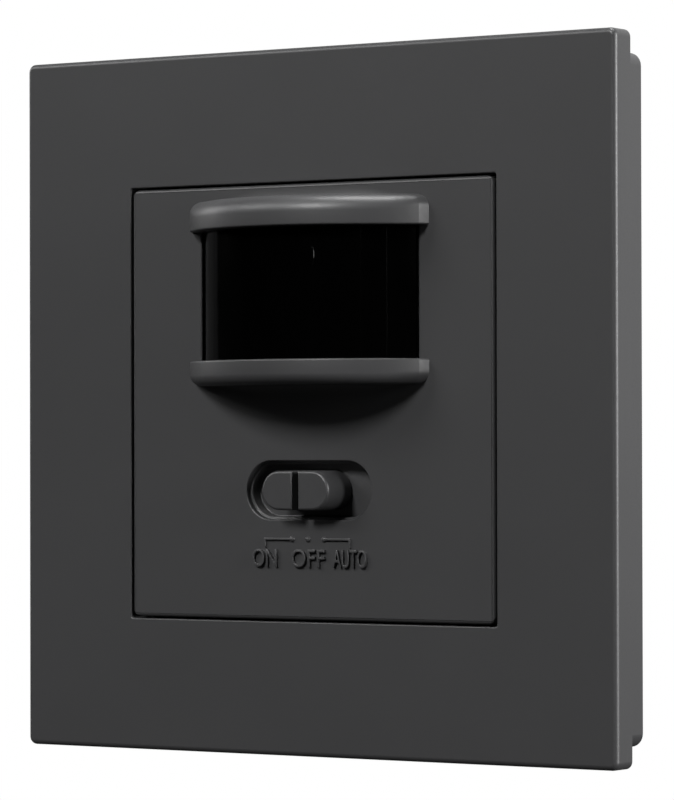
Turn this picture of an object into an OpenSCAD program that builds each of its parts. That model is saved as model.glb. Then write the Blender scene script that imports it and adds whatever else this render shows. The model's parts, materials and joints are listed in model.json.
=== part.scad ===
// Motion sensor light switch for a flush wall box, with a slide for on, off and automatic.
// The front faces -Y, +X is to the right of someone who looks at it, and +Z is up.
// The origin is the middle of the wall plane, on which the frame and the support ring stand.

/* [Frame] */
// Outer width and height of the front frame
frame_w = 80; // [78:0.5:86]
// Distance from the wall to the front face
frame_depth = 9.2; // [8.8:0.1:11]
// Depth of the front frame's visible edge
bezel_depth = 3.2; // [2.8:0.1:4]
// How far the wall frame stands in behind the front frame, on each side
step_in = 2; // [1.8:0.1:3]
// Wall of the front frame and of the wall frame
frame_wall = 2; // [1.6:0.1:2.2]
// Rounding of the front frame's front edges
frame_edge = 0.6; // [0.3:0.1:1]
// Corner radius of the front frame, seen from the front
frame_corner = 0.9; // [0.5:0.1:2]
// Corner radius of the wall frame
wall_frame_corner = 1.5; // [0.8:0.1:3]
// Width and height of the opening for the cover plate
opening_w = 49.7; // [49.4:0.1:53]
// Ledge inside the opening that carries the cover plate
ledge = 1.6; // [1.2:0.1:1.8]
// Thickness of the ledge
ledge_t = 1.4; // [1:0.1:1.8]
// Wall of the collar round the opening
collar_wall = 1.6; // [1.2:0.1:2.4]

/* [Cover plate] */
// Gap round the cover plate
cover_gap = 0.25; // [0.2:0.05:0.6]
// Thickness of the cover plate
cover_t = 2.2; // [1.9:0.1:2.5]
// Rounding of the cover plate's front edges
cover_edge = 0.4; // [0.2:0.05:0.8]
// Corner radius of the cover plate, seen from the front
cover_corner = 1; // [0.5:0.1:2]
// Thickness of a latch leg
leg_t = 1.2; // [0.9:0.1:1.5]
// Width of a latch leg
leg_w = 7; // [4:0.5:9]
// Distance between the upper and the lower latch legs
leg_spacing = 24; // [20:0.5:28]
// Reach of a latch hook into the tray's wall
leg_hook = 0.8; // [0.4:0.1:1]

/* [Detection window] */
// Height of the middle of the window above the middle of the cover plate
window_z = 12.05; // [10:0.05:13]
// Clear width of the window where it meets the cover plate
window_w = 29.2; // [26:0.1:30]
// Clear height of the window between the visors
window_h = 14.8; // [12:0.1:15.4]
// Width of the visors
visor_w = 32.3; // [31:0.1:35]
// Height of one visor
visor_h = 3.7; // [2.6:0.1:4]
// Reach of the visors in front of the cover plate, at their middle
visor_reach = 8.5; // [7:0.1:9.5]
// Reach of the visors at their ends
visor_land = 0.5; // [0.2:0.1:1.5]
// Width of the slanted facet at each end of a visor
visor_facet = 0.55; // [0.3:0.05:0.8]
// Rounding of the visors' outer edges
visor_round = 1.7; // [0.8:0.1:2]
// Corner radius of the visors, seen from the front
visor_corner = 1.5; // [0.8:0.1:2]
// How far a visor's lip covers the edge of the lens
visor_lip = 0.6; // [0.4:0.1:1]
// Thickness of the lens
lens_t = 1; // [0.8:0.1:1.4]
// Number of lens segments across the bow
lens_segments = 16; // [8:2:24]
// Width of the lens retainer's side rails
retainer_rail = 1.9; // [1.4:0.1:2.2]
// Thickness of the lens retainer
retainer_t = 1.4; // [1:0.1:1.6]
// Radius of the pins that the retainer is staked on
pin_r = 0.7; // [0.5:0.05:0.8]

/* [Mode slide] */
// Height of the slide, below the middle of the cover plate
slide_drop = 10; // [9:0.1:11]
// Travel of the knob over its three positions
slide_travel = 4.4; // [3.6:0.1:5]
// Length of the knob's top
knob_len = 9; // [8:0.1:9.6]
// Height of the knob's top
knob_h = 4.4; // [4:0.1:5]
// How much the knob grows towards its base, on each side
knob_flare = 0.05; // [0.05:0.05:0.3]
// How far the knob stands in front of the cover plate
knob_proud = 2.8; // [1.5:0.1:3.2]
// Width of the thumb groove
groove_w = 0.9; // [0.6:0.02:1.2]
// Depth of the thumb groove
groove_depth = 1.4; // [0.3:0.05:1.6]
// Room between the knob and each end of its slot, at the end of the travel
slot_room = 1.4; // [0.5:0.05:1.6]
// Room above and below the knob in its slot
slot_side = 0.75; // [0.2:0.05:0.8]
// Width of the ledge round the knob's slot
rim_w = 0.33; // [0.3:0.01:0.6]
// Depth of that ledge
rim_depth = 0.7; // [0.4:0.05:0.8]
// Depth of the slot
slot_depth = 2.1; // [1.8:0.1:2.3]
// Thickness of the slot's floor
slot_floor = 1.2; // [1:0.1:1.4]
// Width of the switch lever
lever_w = 1.7; // [1.6:0.1:2.4]
// Height of the knob's stem and of the switch lever
stem_h = 2.2; // [1.8:0.1:2.4]
// Thickness of one prong of the stem
prong_t = 0.7; // [0.6:0.1:1]

/* [Insert] */
// Gap between the support ring and the wall frame
ring_gap = 1; // [0.6:0.1:1.4]
// Thickness of the support ring
ring_t = 1; // [0.8:0.1:1.2]
// Distance between the wall box's screws
box_spacing = 60; // [59.6:0.1:60.4]
// Width of the box-screw slots
box_slot_w = 4.2; // [3.6:0.1:4.4]
// Length of the box-screw slots
box_slot_len = 6.4; // [5.6:0.1:6.8]
// Width of the insert
insert_w = 46; // [45.6:0.1:47]
// Height of the insert
insert_h = 50; // [49:0.1:50.4]
// Diameter that the insert's corners stay inside
insert_d = 56; // [55.6:0.1:57]
// Depth of the insert behind the wall plane
insert_depth = 26.8; // [26.4:0.1:36]
// Wall of the insert
wall = 1.5; // [1.3:0.1:1.6]
// Thickness of the tray's flange on the support ring
flange_t = 1.4; // [1:0.1:1.6]
// Reach of the flange past the insert
flange_reach = 2; // [1.2:0.1:2.2]
// Radius of the screws that hold the ring to the tray
ring_screw_r = 1; // [0.8:0.05:1.2]
// Radius of the screws that hold the cup to the tray
cup_screw_r = 1.2; // [1:0.05:1.4]
// Radius of the cup's screw bosses
boss_r = 2.8; // [2.6:0.1:3]
// Rounding of the cup's rear edges
cup_edge = 1.4; // [0.5:0.1:1.8]

/* [Electronics] */
// Thickness of the circuit boards
board_t = 1.6; // [1.2:0.1:1.8]
// Depth of the sensor board's front behind the wall plane
board_y = 1; // [0.9:0.1:1.2]
// Radius of the infrared sensor's can
can_r = 4.1; // [3.6:0.1:4.4]
// Height of the infrared sensor's can
can_h = 4.4; // [3.6:0.1:5]
// Width and height of a trimmer's body
trimmer_w = 8; // [6:0.1:8.4]
// Thickness of a trimmer's body
trimmer_t = 5; // [4:0.1:5.2]
// Radius of a trimmer's dial
dial_r = 3; // [2.2:0.1:3.2]
// Thickness of a trimmer's dial
dial_t = 1.3; // [1:0.1:1.5]
// Radius of a dial's spindle
spindle_r = 1.5; // [1:0.1:1.8]
// Distance of the trimmers from the middle
trimmer_x = 13.5; // [12.5:0.1:14]
// Height of the trimmers, below the middle
trimmer_drop = 14; // [12:0.1:15]
// Height of the relay in front of its board
relay_t = 11; // [10:0.1:13]

/* [Terminals] */
// Distance between neighbouring terminals
terminal_pitch = 10; // [8.5:0.1:10]
// Radius of a wire entry
wire_r = 1.7; // [1.2:0.05:1.9]
// Length of a wire entry
wire_len = 5.5; // [5:0.1:5.8]
// Depth of the terminal block
terminal_depth = 12; // [11.4:0.1:13]
// Height of the terminal block
terminal_h = 9.6; // [9.2:0.1:10]
// Radius of a terminal screw
terminal_screw_r = 1.4; // [1.1:0.05:1.6]

/* [Fits] */
// Clearance between pieces that are put together
fit = 0.2; // [0.1:0.05:0.25]
// Clearance at the ends of the slide's travel
end_play = 0.45; // [0.3:0.05:0.6]
// Radial clearance of a dial's spindle
spindle_play = 0.05; // [0.02:0.01:0.1]

/* [Hidden] */
$fn = 72;
fine_fn = 180;

anthracite = [0.24, 0.24, 0.245];
lens_black = [0.03, 0.03, 0.035];
housing_black = [0.12, 0.12, 0.125];
board_green = [0.08, 0.32, 0.18];
steel = [0.68, 0.69, 0.70];
brass = [0.78, 0.62, 0.30];

// Overlap of solids that belong to one piece, and the reach of a cut past a face
sink = 0.3;
past = 1;

// Frame planes and widths
front_y = -frame_depth;
bezel_wall_y = front_y + frame_wall;
bezel_back_y = front_y + bezel_depth;
wall_frame_w = frame_w - 2 * step_in;
wall_frame_in = wall_frame_w - 2 * frame_wall;
skirt_in = wall_frame_w + 2 * fit;
cover_back_y = front_y + cover_t;
ledge_back_y = cover_back_y + ledge_t;
ledge_in = opening_w - 2 * ledge;
collar_w = opening_w + 2 * collar_wall;
frame_rib_t = 1;
frame_rib_gap = 16;

// Cover plate
cover_w = opening_w - 2 * cover_gap;
cover_rib_t = 1;
cover_rib_h = 1;
cover_rib_w = ledge_in - 2 * fit;

// Bow of the visors and the lens: a vertical cylinder through the visors' ends and middle
visor_rise = visor_reach - visor_land;
visor_r = (pow(visor_w / 2, 2) + pow(visor_rise, 2)) / (2 * visor_rise);
bow_y = front_y - visor_reach + visor_r;
bow_front_y = bow_y - visor_r;
facet_x = visor_w / 2 - visor_facet;
facet_y = bow_y - sqrt(pow(visor_r, 2) - pow(facet_x, 2));
window_low = window_z - window_h / 2;
window_high = window_z + window_h / 2;
cavity_r = norm([window_w / 2, bow_y - front_y]);
cavity_h = window_h + 2 * visor_lip;
lens_r = cavity_r - fit;
lens_in_r = lens_r - lens_t;
lens_h = cavity_h - 2 * fit;
lens_spread = 72;
lens_flange_t = 1;
lens_flange_y = cover_back_y + lens_flange_t;
lens_flange_lip = 2.4;
lens_flange_w = window_w + 2 * lens_flange_lip;
retainer_y = lens_flange_y + retainer_t;
retainer_in_w = lens_flange_w - 2 * retainer_rail;
retainer_w = lens_flange_w + 2 * fit;
pin_inset = 4.6;
pin_x = window_w / 2 - pin_inset;
pin_z = cavity_h / 2 + fit + pin_r;
pin_head_r = pin_r + 0.4;
pin_head_t = 0.5;
retainer_edge = 1.2;
retainer_h = 2 * (pin_z + retainer_edge);
retainer_corner = 1;

// Mode slide
slide_z = -slide_drop;
slide_rest = 0;
knob_front_y = front_y - knob_proud;
knob_base_len = knob_len + 2 * knob_flare;
knob_base_h = knob_h + 2 * knob_flare;
slot_len = knob_base_len + slide_travel + 2 * slot_room;
slot_h = knob_base_h + 2 * slot_side;
slot_floor_y = front_y + slot_depth;
slot_back_y = slot_floor_y + slot_floor;
knob_base_y = slot_floor_y - fit;
cup_wall = 1.2;
stem_w = lever_w + 2 * fit + 2 * prong_t;
stem_slot_len = stem_w + slide_travel + 2 * end_play;
stem_slot_h = stem_h + 2 * fit;
barb = 0.6;
barb_t = 0.8;

// Slide switch on the sensor board
shell_len = 12.7;
shell_h = 5.8;
shell_t = 0.4;
shell_depth = 5;
shell_front_y = board_y - shell_depth;
stem_end_y = shell_front_y - 2 * fit;
lever_front_y = slot_back_y + fit;
slider_t = 1.2;
slider_y = shell_front_y + shell_t + fit;
slider_len = shell_len - 2 * shell_t - slide_travel - 2 * end_play;
slider_h = shell_h - 2 * shell_t - 2 * fit;
switch_base_y = slider_y + slider_t + fit;

// Insert planes
ring_w = wall_frame_in - 2 * ring_gap;
ring_corner = 4;
flange_y = -ring_t - flange_t;
board_back_y = board_y + board_t;
pillar_t = 1.4;
tray_floor_y = board_back_y + pillar_t;
tray_back_y = tray_floor_y + wall;
tongue_t = 1;
tongue_h = 1.1;
cup_in_y = insert_depth - wall;
bay_x = insert_w / 2 - wall;
ring_screw_x = 17;
ring_screw_z = insert_h / 2 + 1;
ring_ear_r = 3;
flange_side_h = 30;
screw_head = 2;
screw_head_t = 1;
boss_x = bay_x - boss_r - fit;
boss_z = -6;
cup_head_sink = 2;
tray_thread = 2.4;

// Latch legs of the cover plate and their windows in the tray's side walls
leg_out = bay_x - 1.5 * fit;
hook_y = -ring_t + fit / 2;
hook_land = 0.4;
leg_end_y = board_y - 2 * fit;

// Trimmer dials
dial_slot = 0.9;
dial_rim = 0.8;

// Infrared sensor
can_foot = 0.45;
can_foot_t = 0.6;
filter_t = 0.5;
filter_size = [4, 3];

// Board fixings
board_screw_inset = 5.5;
board_screw_x = bay_x - board_screw_inset;
board_screw_z = 8;
board_screw_r = 0.9;
board_screw_head = 1.7;
board_screw_head_t = 0.9;
board_pillar_r = 2.2;
screw_slot = 0.5;

// Terminals
terminal_top_z = -13;
terminal_y = insert_depth - terminal_depth;
terminal_z = terminal_top_z - terminal_h / 2;
terminal_side = 5.5;
terminal_w = 2 * (terminal_pitch + terminal_side);
terminal_edge = 0.6;
shoulder = 1.6;
shoulder_t = 1.8;
shoulder_h = 4.4;
clamp_w = 5.2;
clamp_depth = 4;
clamp_wall = 0.9;
clamp_foot = 1.2;
clamp_grip = 0.7;
clamp_y = insert_depth - wire_len - clamp_depth;
clamp_mid_y = clamp_y + clamp_depth / 2;
clamp_low = terminal_z - wire_r - clamp_foot + clamp_grip;
clamp_high = terminal_top_z - clamp_wall;
tag_w = 2;
tag_t = 0.8;
terminal_head_r = terminal_screw_r + 0.8;
terminal_head_t = 1.6;
terminal_head_sink = 0.4;
terminal_screw_slot = 0.6;
terminal_xs = [-terminal_pitch, 0, terminal_pitch];

// Power board and what it carries
part_corner = 0.8;
power_back_y = clamp_y + clamp_depth;
power_y = power_back_y - board_t;
power_low = terminal_top_z + 2 * fit;
rest_r = 1.6;
rest_x = board_screw_x;
rest_zs = [17, -11];
link_pins = 6;
link_gap = 2.54;
link_z = 20;
link_pin_w = 0.64;
link_bar_len = link_pins * link_gap;
link_bar_w = 2.5;
link_bar_t = 2.5;
link_room = 0.8;

// Parts on the power board, in a row from the right wall
part_gap = 0.8;
smoother_r = 3.8;
smoother_len = 11;
smoother_x = bay_x - 1.4 * part_gap - smoother_r;
smoother_z = 9;
bead_r = 0.5;
bead_offset = 1.6;
dropper_w = 8;
dropper_h = 18;
dropper_t = 11;
dropper_x = smoother_x - smoother_r - part_gap - dropper_w / 2;
dropper_z = 6;
relay_w = 19;
relay_h = 15.4;
relay_x = dropper_x - dropper_w / 2 - part_gap - relay_w / 2;
relay_z = 8;
disc_r = 3.5;
disc_t = 3.6;
disc_lift = 0.6;
disc_x = bay_x - 3 * part_gap - disc_t / 2;
disc_z = 1;
disc_foot = 0.8;
disc_foot_gap = 4;
fuse_len = 18;
fuse_r = 2.2;
fuse_cap_r = 2.5;
fuse_cap_len = 4;
fuse_lift = 0.8;
fuse_post = 1;
fuse_z = -8.6;
bridge_w = 6;
bridge_h = 4.6;
bridge_t = 2.6;
bridge_x = dropper_x - dropper_w / 2 - part_gap - bridge_w / 2;
bridge_z = -2.6;

// Extrudes a front view, drawn in X and Z, from depth y0 to depth y1
module slab(y0, y1) {
    translate([0, y1, 0]) rotate([90, 0, 0]) linear_extrude(y1 - y0) children();
}

// A round bar along the depth
module rod(r, y0, y1) {
    translate([0, y1, 0]) rotate([90, 0, 0]) cylinder(r = r, h = y1 - y0);
}

// Moves a piece sideways and up
module at(x, z) {
    translate([x, 0, z]) children();
}

// Copies a piece to the left and to the right
module both_sides() {
    children();
    mirror([1, 0, 0]) children();
}

module rounded(w, h, r) {
    square([w - 2 * r, h], center = true);
    square([w, h - 2 * r], center = true);
    for (x = [-1, 1], z = [-1, 1]) translate([x * (w / 2 - r), z * (h / 2 - r)]) circle(r);
}

module stadium(len, h) {
    square([len - h, h], center = true);
    for (x = [-1, 1]) translate([x * (len - h) / 2, 0]) circle(d = h);
}

module square_ring(outer, inner) {
    difference() {
        square(outer, center = true);
        square(inner, center = true);
    }
}

// Outline of the insert: a rectangle whose corners stay inside the round wall box
module insert_outline(grow) {
    intersection() {
        circle(d = insert_d + 2 * grow);
        square([insert_w + 2 * grow, insert_h + 2 * grow], center = true);
    }
}

// Section of a plate whose two front edges are rounded
module round_front(w, depth, r) {
    translate([-w / 2, r]) square([w, depth - r]);
    translate([r - w / 2, 0]) square([w - 2 * r, depth]);
    for (x = [-1, 1]) translate([x * (w / 2 - r), r]) circle(r);
}

// Square plate with its front at the front plane, all four front edges rounded
module soft_plate(w, depth, edge, corner) {
    translate([0, front_y, 0]) intersection() {
        translate([0, 0, -w / 2]) linear_extrude(w) round_front(w, depth, edge);
        rotate([0, 90, 0]) translate([0, 0, -w / 2]) linear_extrude(w) round_front(w, depth, edge);
        slab(0, depth) rounded(w, w, corner);
    }
}

module front_frame() {
    color(anthracite) difference() {
        union() {
            difference() {
                soft_plate(frame_w, bezel_depth, frame_edge, frame_corner);
                slab(bezel_wall_y, bezel_back_y + past) square(skirt_in, center = true);
            }
            slab(bezel_wall_y - sink, ledge_back_y) square(collar_w, center = true);
            frame_ribs();
        }
        slab(front_y - past, cover_back_y) square(opening_w, center = true);
        slab(front_y, ledge_back_y + past) square(ledge_in, center = true);
    }
}

// Ribs behind the front wall, from the collar towards the wall frame
module frame_ribs() {
    rib_end = wall_frame_in / 2 - 2 * fit;
    for (turn = [0, 90, 180, 270], offset = [-1, 1]) rotate([0, turn, 0])
        translate([collar_w / 2 - sink, bezel_wall_y - sink, offset * frame_rib_gap - frame_rib_t / 2])
            cube([rib_end - collar_w / 2 + sink, ledge_t, frame_rib_t]);
}

module wall_frame() {
    lug_w = 6;
    color(anthracite) {
        difference() {
            slab(bezel_wall_y, 0) rounded(wall_frame_w, wall_frame_w, wall_frame_corner);
            slab(bezel_wall_y - past, past) square(wall_frame_in, center = true);
        }
        for (turn = [0, 90, 180, 270], offset = [-1, 1]) rotate([0, turn, 0])
            translate([ring_w / 2 + fit, -ring_t - 2, offset * frame_rib_gap - lug_w / 2])
                cube([ring_gap - fit + sink, ring_t + 2, lug_w]);
    }
}

// One visor: a bowed shelf with slanted ends, sharp where it meets the lens at z = 0, round at its far edge
module visor() {
    intersection() {
        translate([0, bow_y, 0]) rotate_extrude() union() {
            square([visor_r, visor_h - visor_round]);
            square([visor_r - visor_round, visor_h]);
            translate([visor_r - visor_round, visor_h - visor_round]) circle(visor_round);
        }
        slab(bow_front_y - past, front_y + sink) union() {
            translate([-visor_w / 2, 0]) square([visor_w, visor_h - visor_corner]);
            translate([visor_corner - visor_w / 2, 0]) square([visor_w - 2 * visor_corner, visor_h]);
            for (x = [-1, 1]) translate([x * (visor_w / 2 - visor_corner), visor_h - visor_corner])
                circle(visor_corner);
        }
        linear_extrude(visor_h) polygon([
            [-visor_w / 2, front_y + sink], [-visor_w / 2, front_y], [-facet_x, facet_y],
            [-facet_x, bow_front_y - past], [facet_x, bow_front_y - past],
            [facet_x, facet_y], [visor_w / 2, front_y], [visor_w / 2, front_y + sink]
        ]);
    }
}

// Room for the lens: it comes in from the back, and the visors' lips hold its edges
module lens_cavity() {
    intersection() {
        translate([0, bow_y, window_z - cavity_h / 2]) cylinder(r = cavity_r, h = cavity_h);
        slab(bow_front_y, cover_back_y + past) translate([0, window_z]) square(2 * visor_w, center = true);
    }
}

// Stepped stadium recess of the slide, with the slot for the knob's stem in its floor
module slide_recess() {
    at(0, slide_z) {
        slab(front_y - past, front_y + rim_depth) stadium(slot_len + 2 * rim_w, slot_h + 2 * rim_w);
        slab(front_y - past, slot_floor_y) stadium(slot_len, slot_h);
        slab(front_y, slot_back_y + past) stadium(stem_slot_len, stem_slot_h);
    }
}

// Latch leg on the right, with its hook towards the tray's side wall
module latch_leg() {
    translate([0, 0, -leg_w / 2]) linear_extrude(leg_w) {
        translate([leg_out - leg_t, cover_back_y - sink]) square([leg_t, leg_end_y - cover_back_y + sink]);
        polygon([
            [leg_out - leg_t, hook_y],
            [leg_out + leg_hook, hook_y],
            [leg_out + leg_hook, hook_y + hook_land],
            [leg_out - leg_t, leg_end_y]
        ]);
    }
}

module cover_back() {
    at(0, slide_z) slab(cover_back_y - sink, slot_back_y)
        stadium(slot_len + 2 * cup_wall, slot_h + 2 * cup_wall);
    slab(cover_back_y - sink, cover_back_y + cover_rib_h) difference() {
        square_ring(cover_rib_w, cover_rib_w - 2 * cover_rib_t);
        translate([0, window_z]) square([retainer_w + 2 * fit, retainer_h + 2 * fit], center = true);
    }
    both_sides() for (z = [-1, 1]) at(0, z * leg_spacing / 2) latch_leg();
    for (x = [-1, 1], z = [-1, 1]) at(x * pin_x, window_z + z * pin_z) {
        rod(pin_r, cover_back_y - sink, retainer_y + sink);
        rod(pin_head_r, retainer_y, retainer_y + pin_head_t);
    }
}

module cover_plate() {
    color(anthracite) difference() {
        union() {
            soft_plate(cover_w, cover_t, cover_edge, cover_corner);
            at(0, window_high) visor();
            at(0, window_low) mirror([0, 0, 1]) visor();
            cover_back();
        }
        lens_cavity();
        slide_recess();
    }
}

// Bowed lens, round outside and flat-segmented inside, with a lip at each side behind the cover plate
module pir_lens() {
    flats_r = lens_in_r / cos(lens_spread / lens_segments);
    flats = [
        for (i = [0 : lens_segments])
            let (a = lens_spread * (2 * i / lens_segments - 1)) [flats_r * sin(a), bow_y - flats_r * cos(a)]
    ];
    lip_w = lens_flange_lip + lens_t;
    color(lens_black) translate([0, 0, window_z - lens_h / 2]) linear_extrude(lens_h) {
        intersection() {
            difference() {
                translate([0, bow_y]) circle(lens_r, $fn = fine_fn);
                polygon(flats);
            }
            translate([-visor_w / 2, bow_front_y]) square([visor_w, lens_flange_y - bow_front_y]);
        }
        for (x = [-1, 1]) translate([x * (lens_flange_w - lip_w) / 2 - lip_w / 2, cover_back_y])
            square([lip_w, lens_flange_t]);
    }
}

module lens_retainer() {
    color(housing_black) at(0, window_z) slab(lens_flange_y, retainer_y) difference() {
        rounded(retainer_w, retainer_h, retainer_corner);
        square([retainer_in_w, lens_h], center = true);
        for (x = [-1, 1], z = [-1, 1]) translate([x * pin_x, z * pin_z]) circle(pin_r + fit / 4);
    }
}

// Stadium that grows by flare towards its back
module drafted_stadium(len, h, flare, y0, y1) {
    for (x = [-1, 1]) translate([x * (len - h) / 2, y1, 0]) rotate([90, 0, 0])
        cylinder(r1 = h / 2 + flare, r2 = h / 2, h = y1 - y0);
    translate([-(len - h) / 2, 0, 0]) rotate([90, 0, 90]) linear_extrude(len - h)
        polygon([[y0, -h / 2], [y0, h / 2], [y1, h / 2 + flare], [y1, -h / 2 - flare]]);
}

module slide_knob() {
    color(anthracite) at(slide_rest, slide_z) difference() {
        union() {
            drafted_stadium(knob_len, knob_h, knob_flare, knob_front_y, knob_base_y);
            slab(knob_base_y - sink, stem_end_y) stadium(stem_w, stem_h);
            slab(slot_back_y + fit, slot_back_y + fit + barb_t)
                square([stem_w, stem_slot_h + 2 * barb], center = true);
        }
        slab(knob_front_y - past, knob_front_y + groove_depth) square([groove_w, 2 * knob_h], center = true);
        slab(lever_front_y - fit, stem_end_y + past)
            square([lever_w + 2 * fit, stem_slot_h + 4 * barb], center = true);
    }
}

module switch_lever() {
    color(housing_black) at(slide_rest, slide_z) {
        slab(lever_front_y, slider_y + sink) square([lever_w, stem_h], center = true);
        slab(slider_y, slider_y + slider_t) square([slider_len, slider_h], center = true);
    }
}

module switch_shell() {
    color(steel) at(0, slide_z) difference() {
        slab(shell_front_y, board_y) rounded(shell_len, shell_h, shell_t);
        slab(shell_front_y + shell_t, board_y + past)
            square([shell_len - 2 * shell_t, shell_h - 2 * shell_t], center = true);
        slab(shell_front_y - past, slider_y)
            square([lever_w + slide_travel + 2 * end_play, stem_h + 2 * fit], center = true);
    }
}

module switch_base() {
    color([0.36, 0.22, 0.12]) at(0, slide_z) slab(switch_base_y, board_y)
        square([shell_len - 2 * shell_t - fit, shell_h - 2 * shell_t - fit], center = true);
}

module sensor_board() {
    color(board_green) slab(board_y, board_back_y) difference() {
        insert_outline(-wall - fit);
        for (x = [-1, 1]) translate([x * board_screw_x, board_screw_z]) circle(board_screw_r + fit);
    }
}

// Metal can with a flange at its foot and a rectangular window in its front
module pir_sensor() {
    color(steel) at(0, window_z) difference() {
        union() {
            rod(can_r + can_foot, board_y - can_foot_t, board_y);
            rod(can_r, board_y - can_h, board_y - can_foot_t / 2);
        }
        slab(board_y - can_h - past, board_y - can_h + filter_t) square(filter_size, center = true);
    }
}

module sensor_filter() {
    color([0.16, 0.14, 0.16]) at(0, window_z) slab(board_y - can_h, board_y - can_h + filter_t)
        square(filter_size, center = true);
}

// Photo resistor: a disc with two flattened sides
module light_cell() {
    cell_r = 2.5;
    cell_flats = 4.3;
    cell_t = 2.2;
    cell_x = 9.5;
    cell_drop = 4;
    color([0.75, 0.55, 0.30]) at(cell_x, window_z - cell_drop) intersection() {
        rod(cell_r, board_y - cell_t, board_y);
        slab(board_y - cell_t, board_y) square([2 * cell_r, cell_flats], center = true);
    }
}

module trimmer_body() {
    color([0.16, 0.30, 0.55]) difference() {
        slab(board_y - trimmer_t, board_y) rounded(trimmer_w, trimmer_w, part_corner);
        rod(spindle_r + spindle_play, board_y - trimmer_t - past, board_y - trimmer_t / 2 + fit);
    }
}

// Dial with a spindle in the trimmer's body, a screwdriver slot and a pointer notch
module trimmer_dial() {
    dial_back_y = board_y - trimmer_t - fit / 2;
    dial_y = dial_back_y - dial_t;
    color([0.90, 0.88, 0.82]) difference() {
        union() {
            rod(dial_r, dial_y, dial_back_y);
            rod(spindle_r, dial_back_y - sink, board_y - trimmer_t / 2);
        }
        slab(dial_y - past, dial_y + dial_t / 2) {
            square([dial_slot, 2 * (dial_r - dial_rim)], center = true);
            translate([0, dial_r]) square([dial_slot, dial_rim], center = true);
        }
    }
}

module time_trimmer() {
    at(-trimmer_x, -trimmer_drop) trimmer_body();
}

module time_dial() {
    at(-trimmer_x, -trimmer_drop) trimmer_dial();
}

module lux_trimmer() {
    at(trimmer_x, -trimmer_drop) trimmer_body();
}

module lux_dial() {
    at(trimmer_x, -trimmer_drop) trimmer_dial();
}

// Small-outline chip with a row of legs down each side
module control_chip() {
    chip_w = 3.9;
    chip_h = 8.6;
    chip_t = 1.5;
    chip_x = -10;
    chip_lift = 0.1;
    leg_count = 7;
    leg_gap = 1.27;
    leg_len = 1;
    leg_width = 0.45;
    leg_reach = 0.4;
    color(housing_black) at(chip_x, window_z) {
        slab(board_y - chip_t, board_y - chip_lift) square([chip_w, chip_h], center = true);
        for (i = [0 : leg_count - 1], x = [-1, 1])
            at(x * (chip_w / 2 + leg_reach), (i - (leg_count - 1) / 2) * leg_gap)
                slab(board_y - chip_t / 2, board_y) square([leg_len, leg_width], center = true);
    }
}

// Round-headed screw from the front: its head lies in front of the seat
module front_screw(r, head_r, head_t, seat_y, end_y) {
    difference() {
        union() {
            rod(head_r, seat_y - head_t, seat_y);
            rod(r, seat_y - sink, end_y);
        }
        slab(seat_y - head_t - past, seat_y - head_t / 2) square([2 * head_r + past, screw_slot], center = true);
    }
}

module board_screws() {
    color(steel) for (x = [-1, 1]) at(x * board_screw_x, board_screw_z)
        front_screw(board_screw_r, board_screw_head, board_screw_head_t, board_y, tray_floor_y);
}

module support_ring() {
    color(steel) slab(-ring_t, 0) difference() {
        rounded(ring_w, ring_w, ring_corner);
        insert_outline(1.5 * fit);
        for (side = [-1, 1]) {
            translate([side * box_spacing / 2, 0]) stadium(box_slot_len, box_slot_w);
            translate([0, side * box_spacing / 2]) rotate(90) stadium(box_slot_len, box_slot_w);
        }
        for (x = [-1, 1], z = [-1, 1]) translate([x * ring_screw_x, z * ring_screw_z])
            circle(ring_screw_r + fit / 4);
    }
}

module ring_screws() {
    color(steel) for (x = [-1, 1], z = [-1, 1]) at(x * ring_screw_x, z * ring_screw_z)
        front_screw(ring_screw_r, screw_head, screw_head_t, flange_y, -fit);
}

// Front half of the insert: a tray for the sensor board, with a flange on the support ring
module housing_tray() {
    color(housing_black) difference() {
        union() {
            difference() {
                union() {
                    slab(flange_y, -ring_t) tray_flange();
                    slab(flange_y, tray_back_y) insert_outline(0);
                }
                slab(flange_y - past, tray_floor_y) insert_outline(-wall);
            }
            for (x = [-1, 1]) {
                at(x * board_screw_x, board_screw_z) rod(board_pillar_r, board_back_y, tray_floor_y + sink);
                at(x * boss_x, boss_z) rod(boss_r, board_back_y, tray_floor_y + sink);
            }
            slab(tray_back_y - sink, tray_back_y + tongue_h) difference() {
                insert_outline(-wall - fit);
                insert_outline(-wall - fit - tongue_t);
                for (x = [-1, 1]) translate([x * boss_x, boss_z]) circle(boss_r + fit);
            }
        }
        for (x = [-1, 1], z = [-1, 1]) {
            at(x * ring_screw_x, z * ring_screw_z) rod(ring_screw_r + fit / 4, flange_y - past, -ring_t + past);
            at(x * insert_w / 2, z * leg_spacing / 2) slab(hook_y - fit / 2, leg_end_y + 2 * fit)
                square([2 * wall + fit, leg_w + 4 * fit], center = true);
        }
        for (x = [-1, 1]) {
            at(x * board_screw_x, board_screw_z) rod(board_screw_r + fit / 4, board_back_y - past, tray_floor_y);
            at(x * boss_x, boss_z) rod(cup_screw_r + fit / 4, tray_back_y - tray_thread - fit, tray_back_y + past);
        }
        at(0, link_z) slab(tray_floor_y - past, tray_back_y + tongue_h + past)
            square([link_bar_len + 2 * link_room, link_bar_w + 2 * link_room], center = true);
    }
}

module tray_flange() {
    insert_outline(flange_reach / 2);
    square([insert_w + 2 * flange_reach, flange_side_h], center = true);
    for (x = [-1, 1], z = [-1, 1]) translate([x * ring_screw_x, z * ring_screw_z]) {
        circle(ring_ear_r);
        translate([0, -z * ring_ear_r]) square([2 * ring_ear_r, 2 * ring_ear_r], center = true);
    }
}

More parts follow.
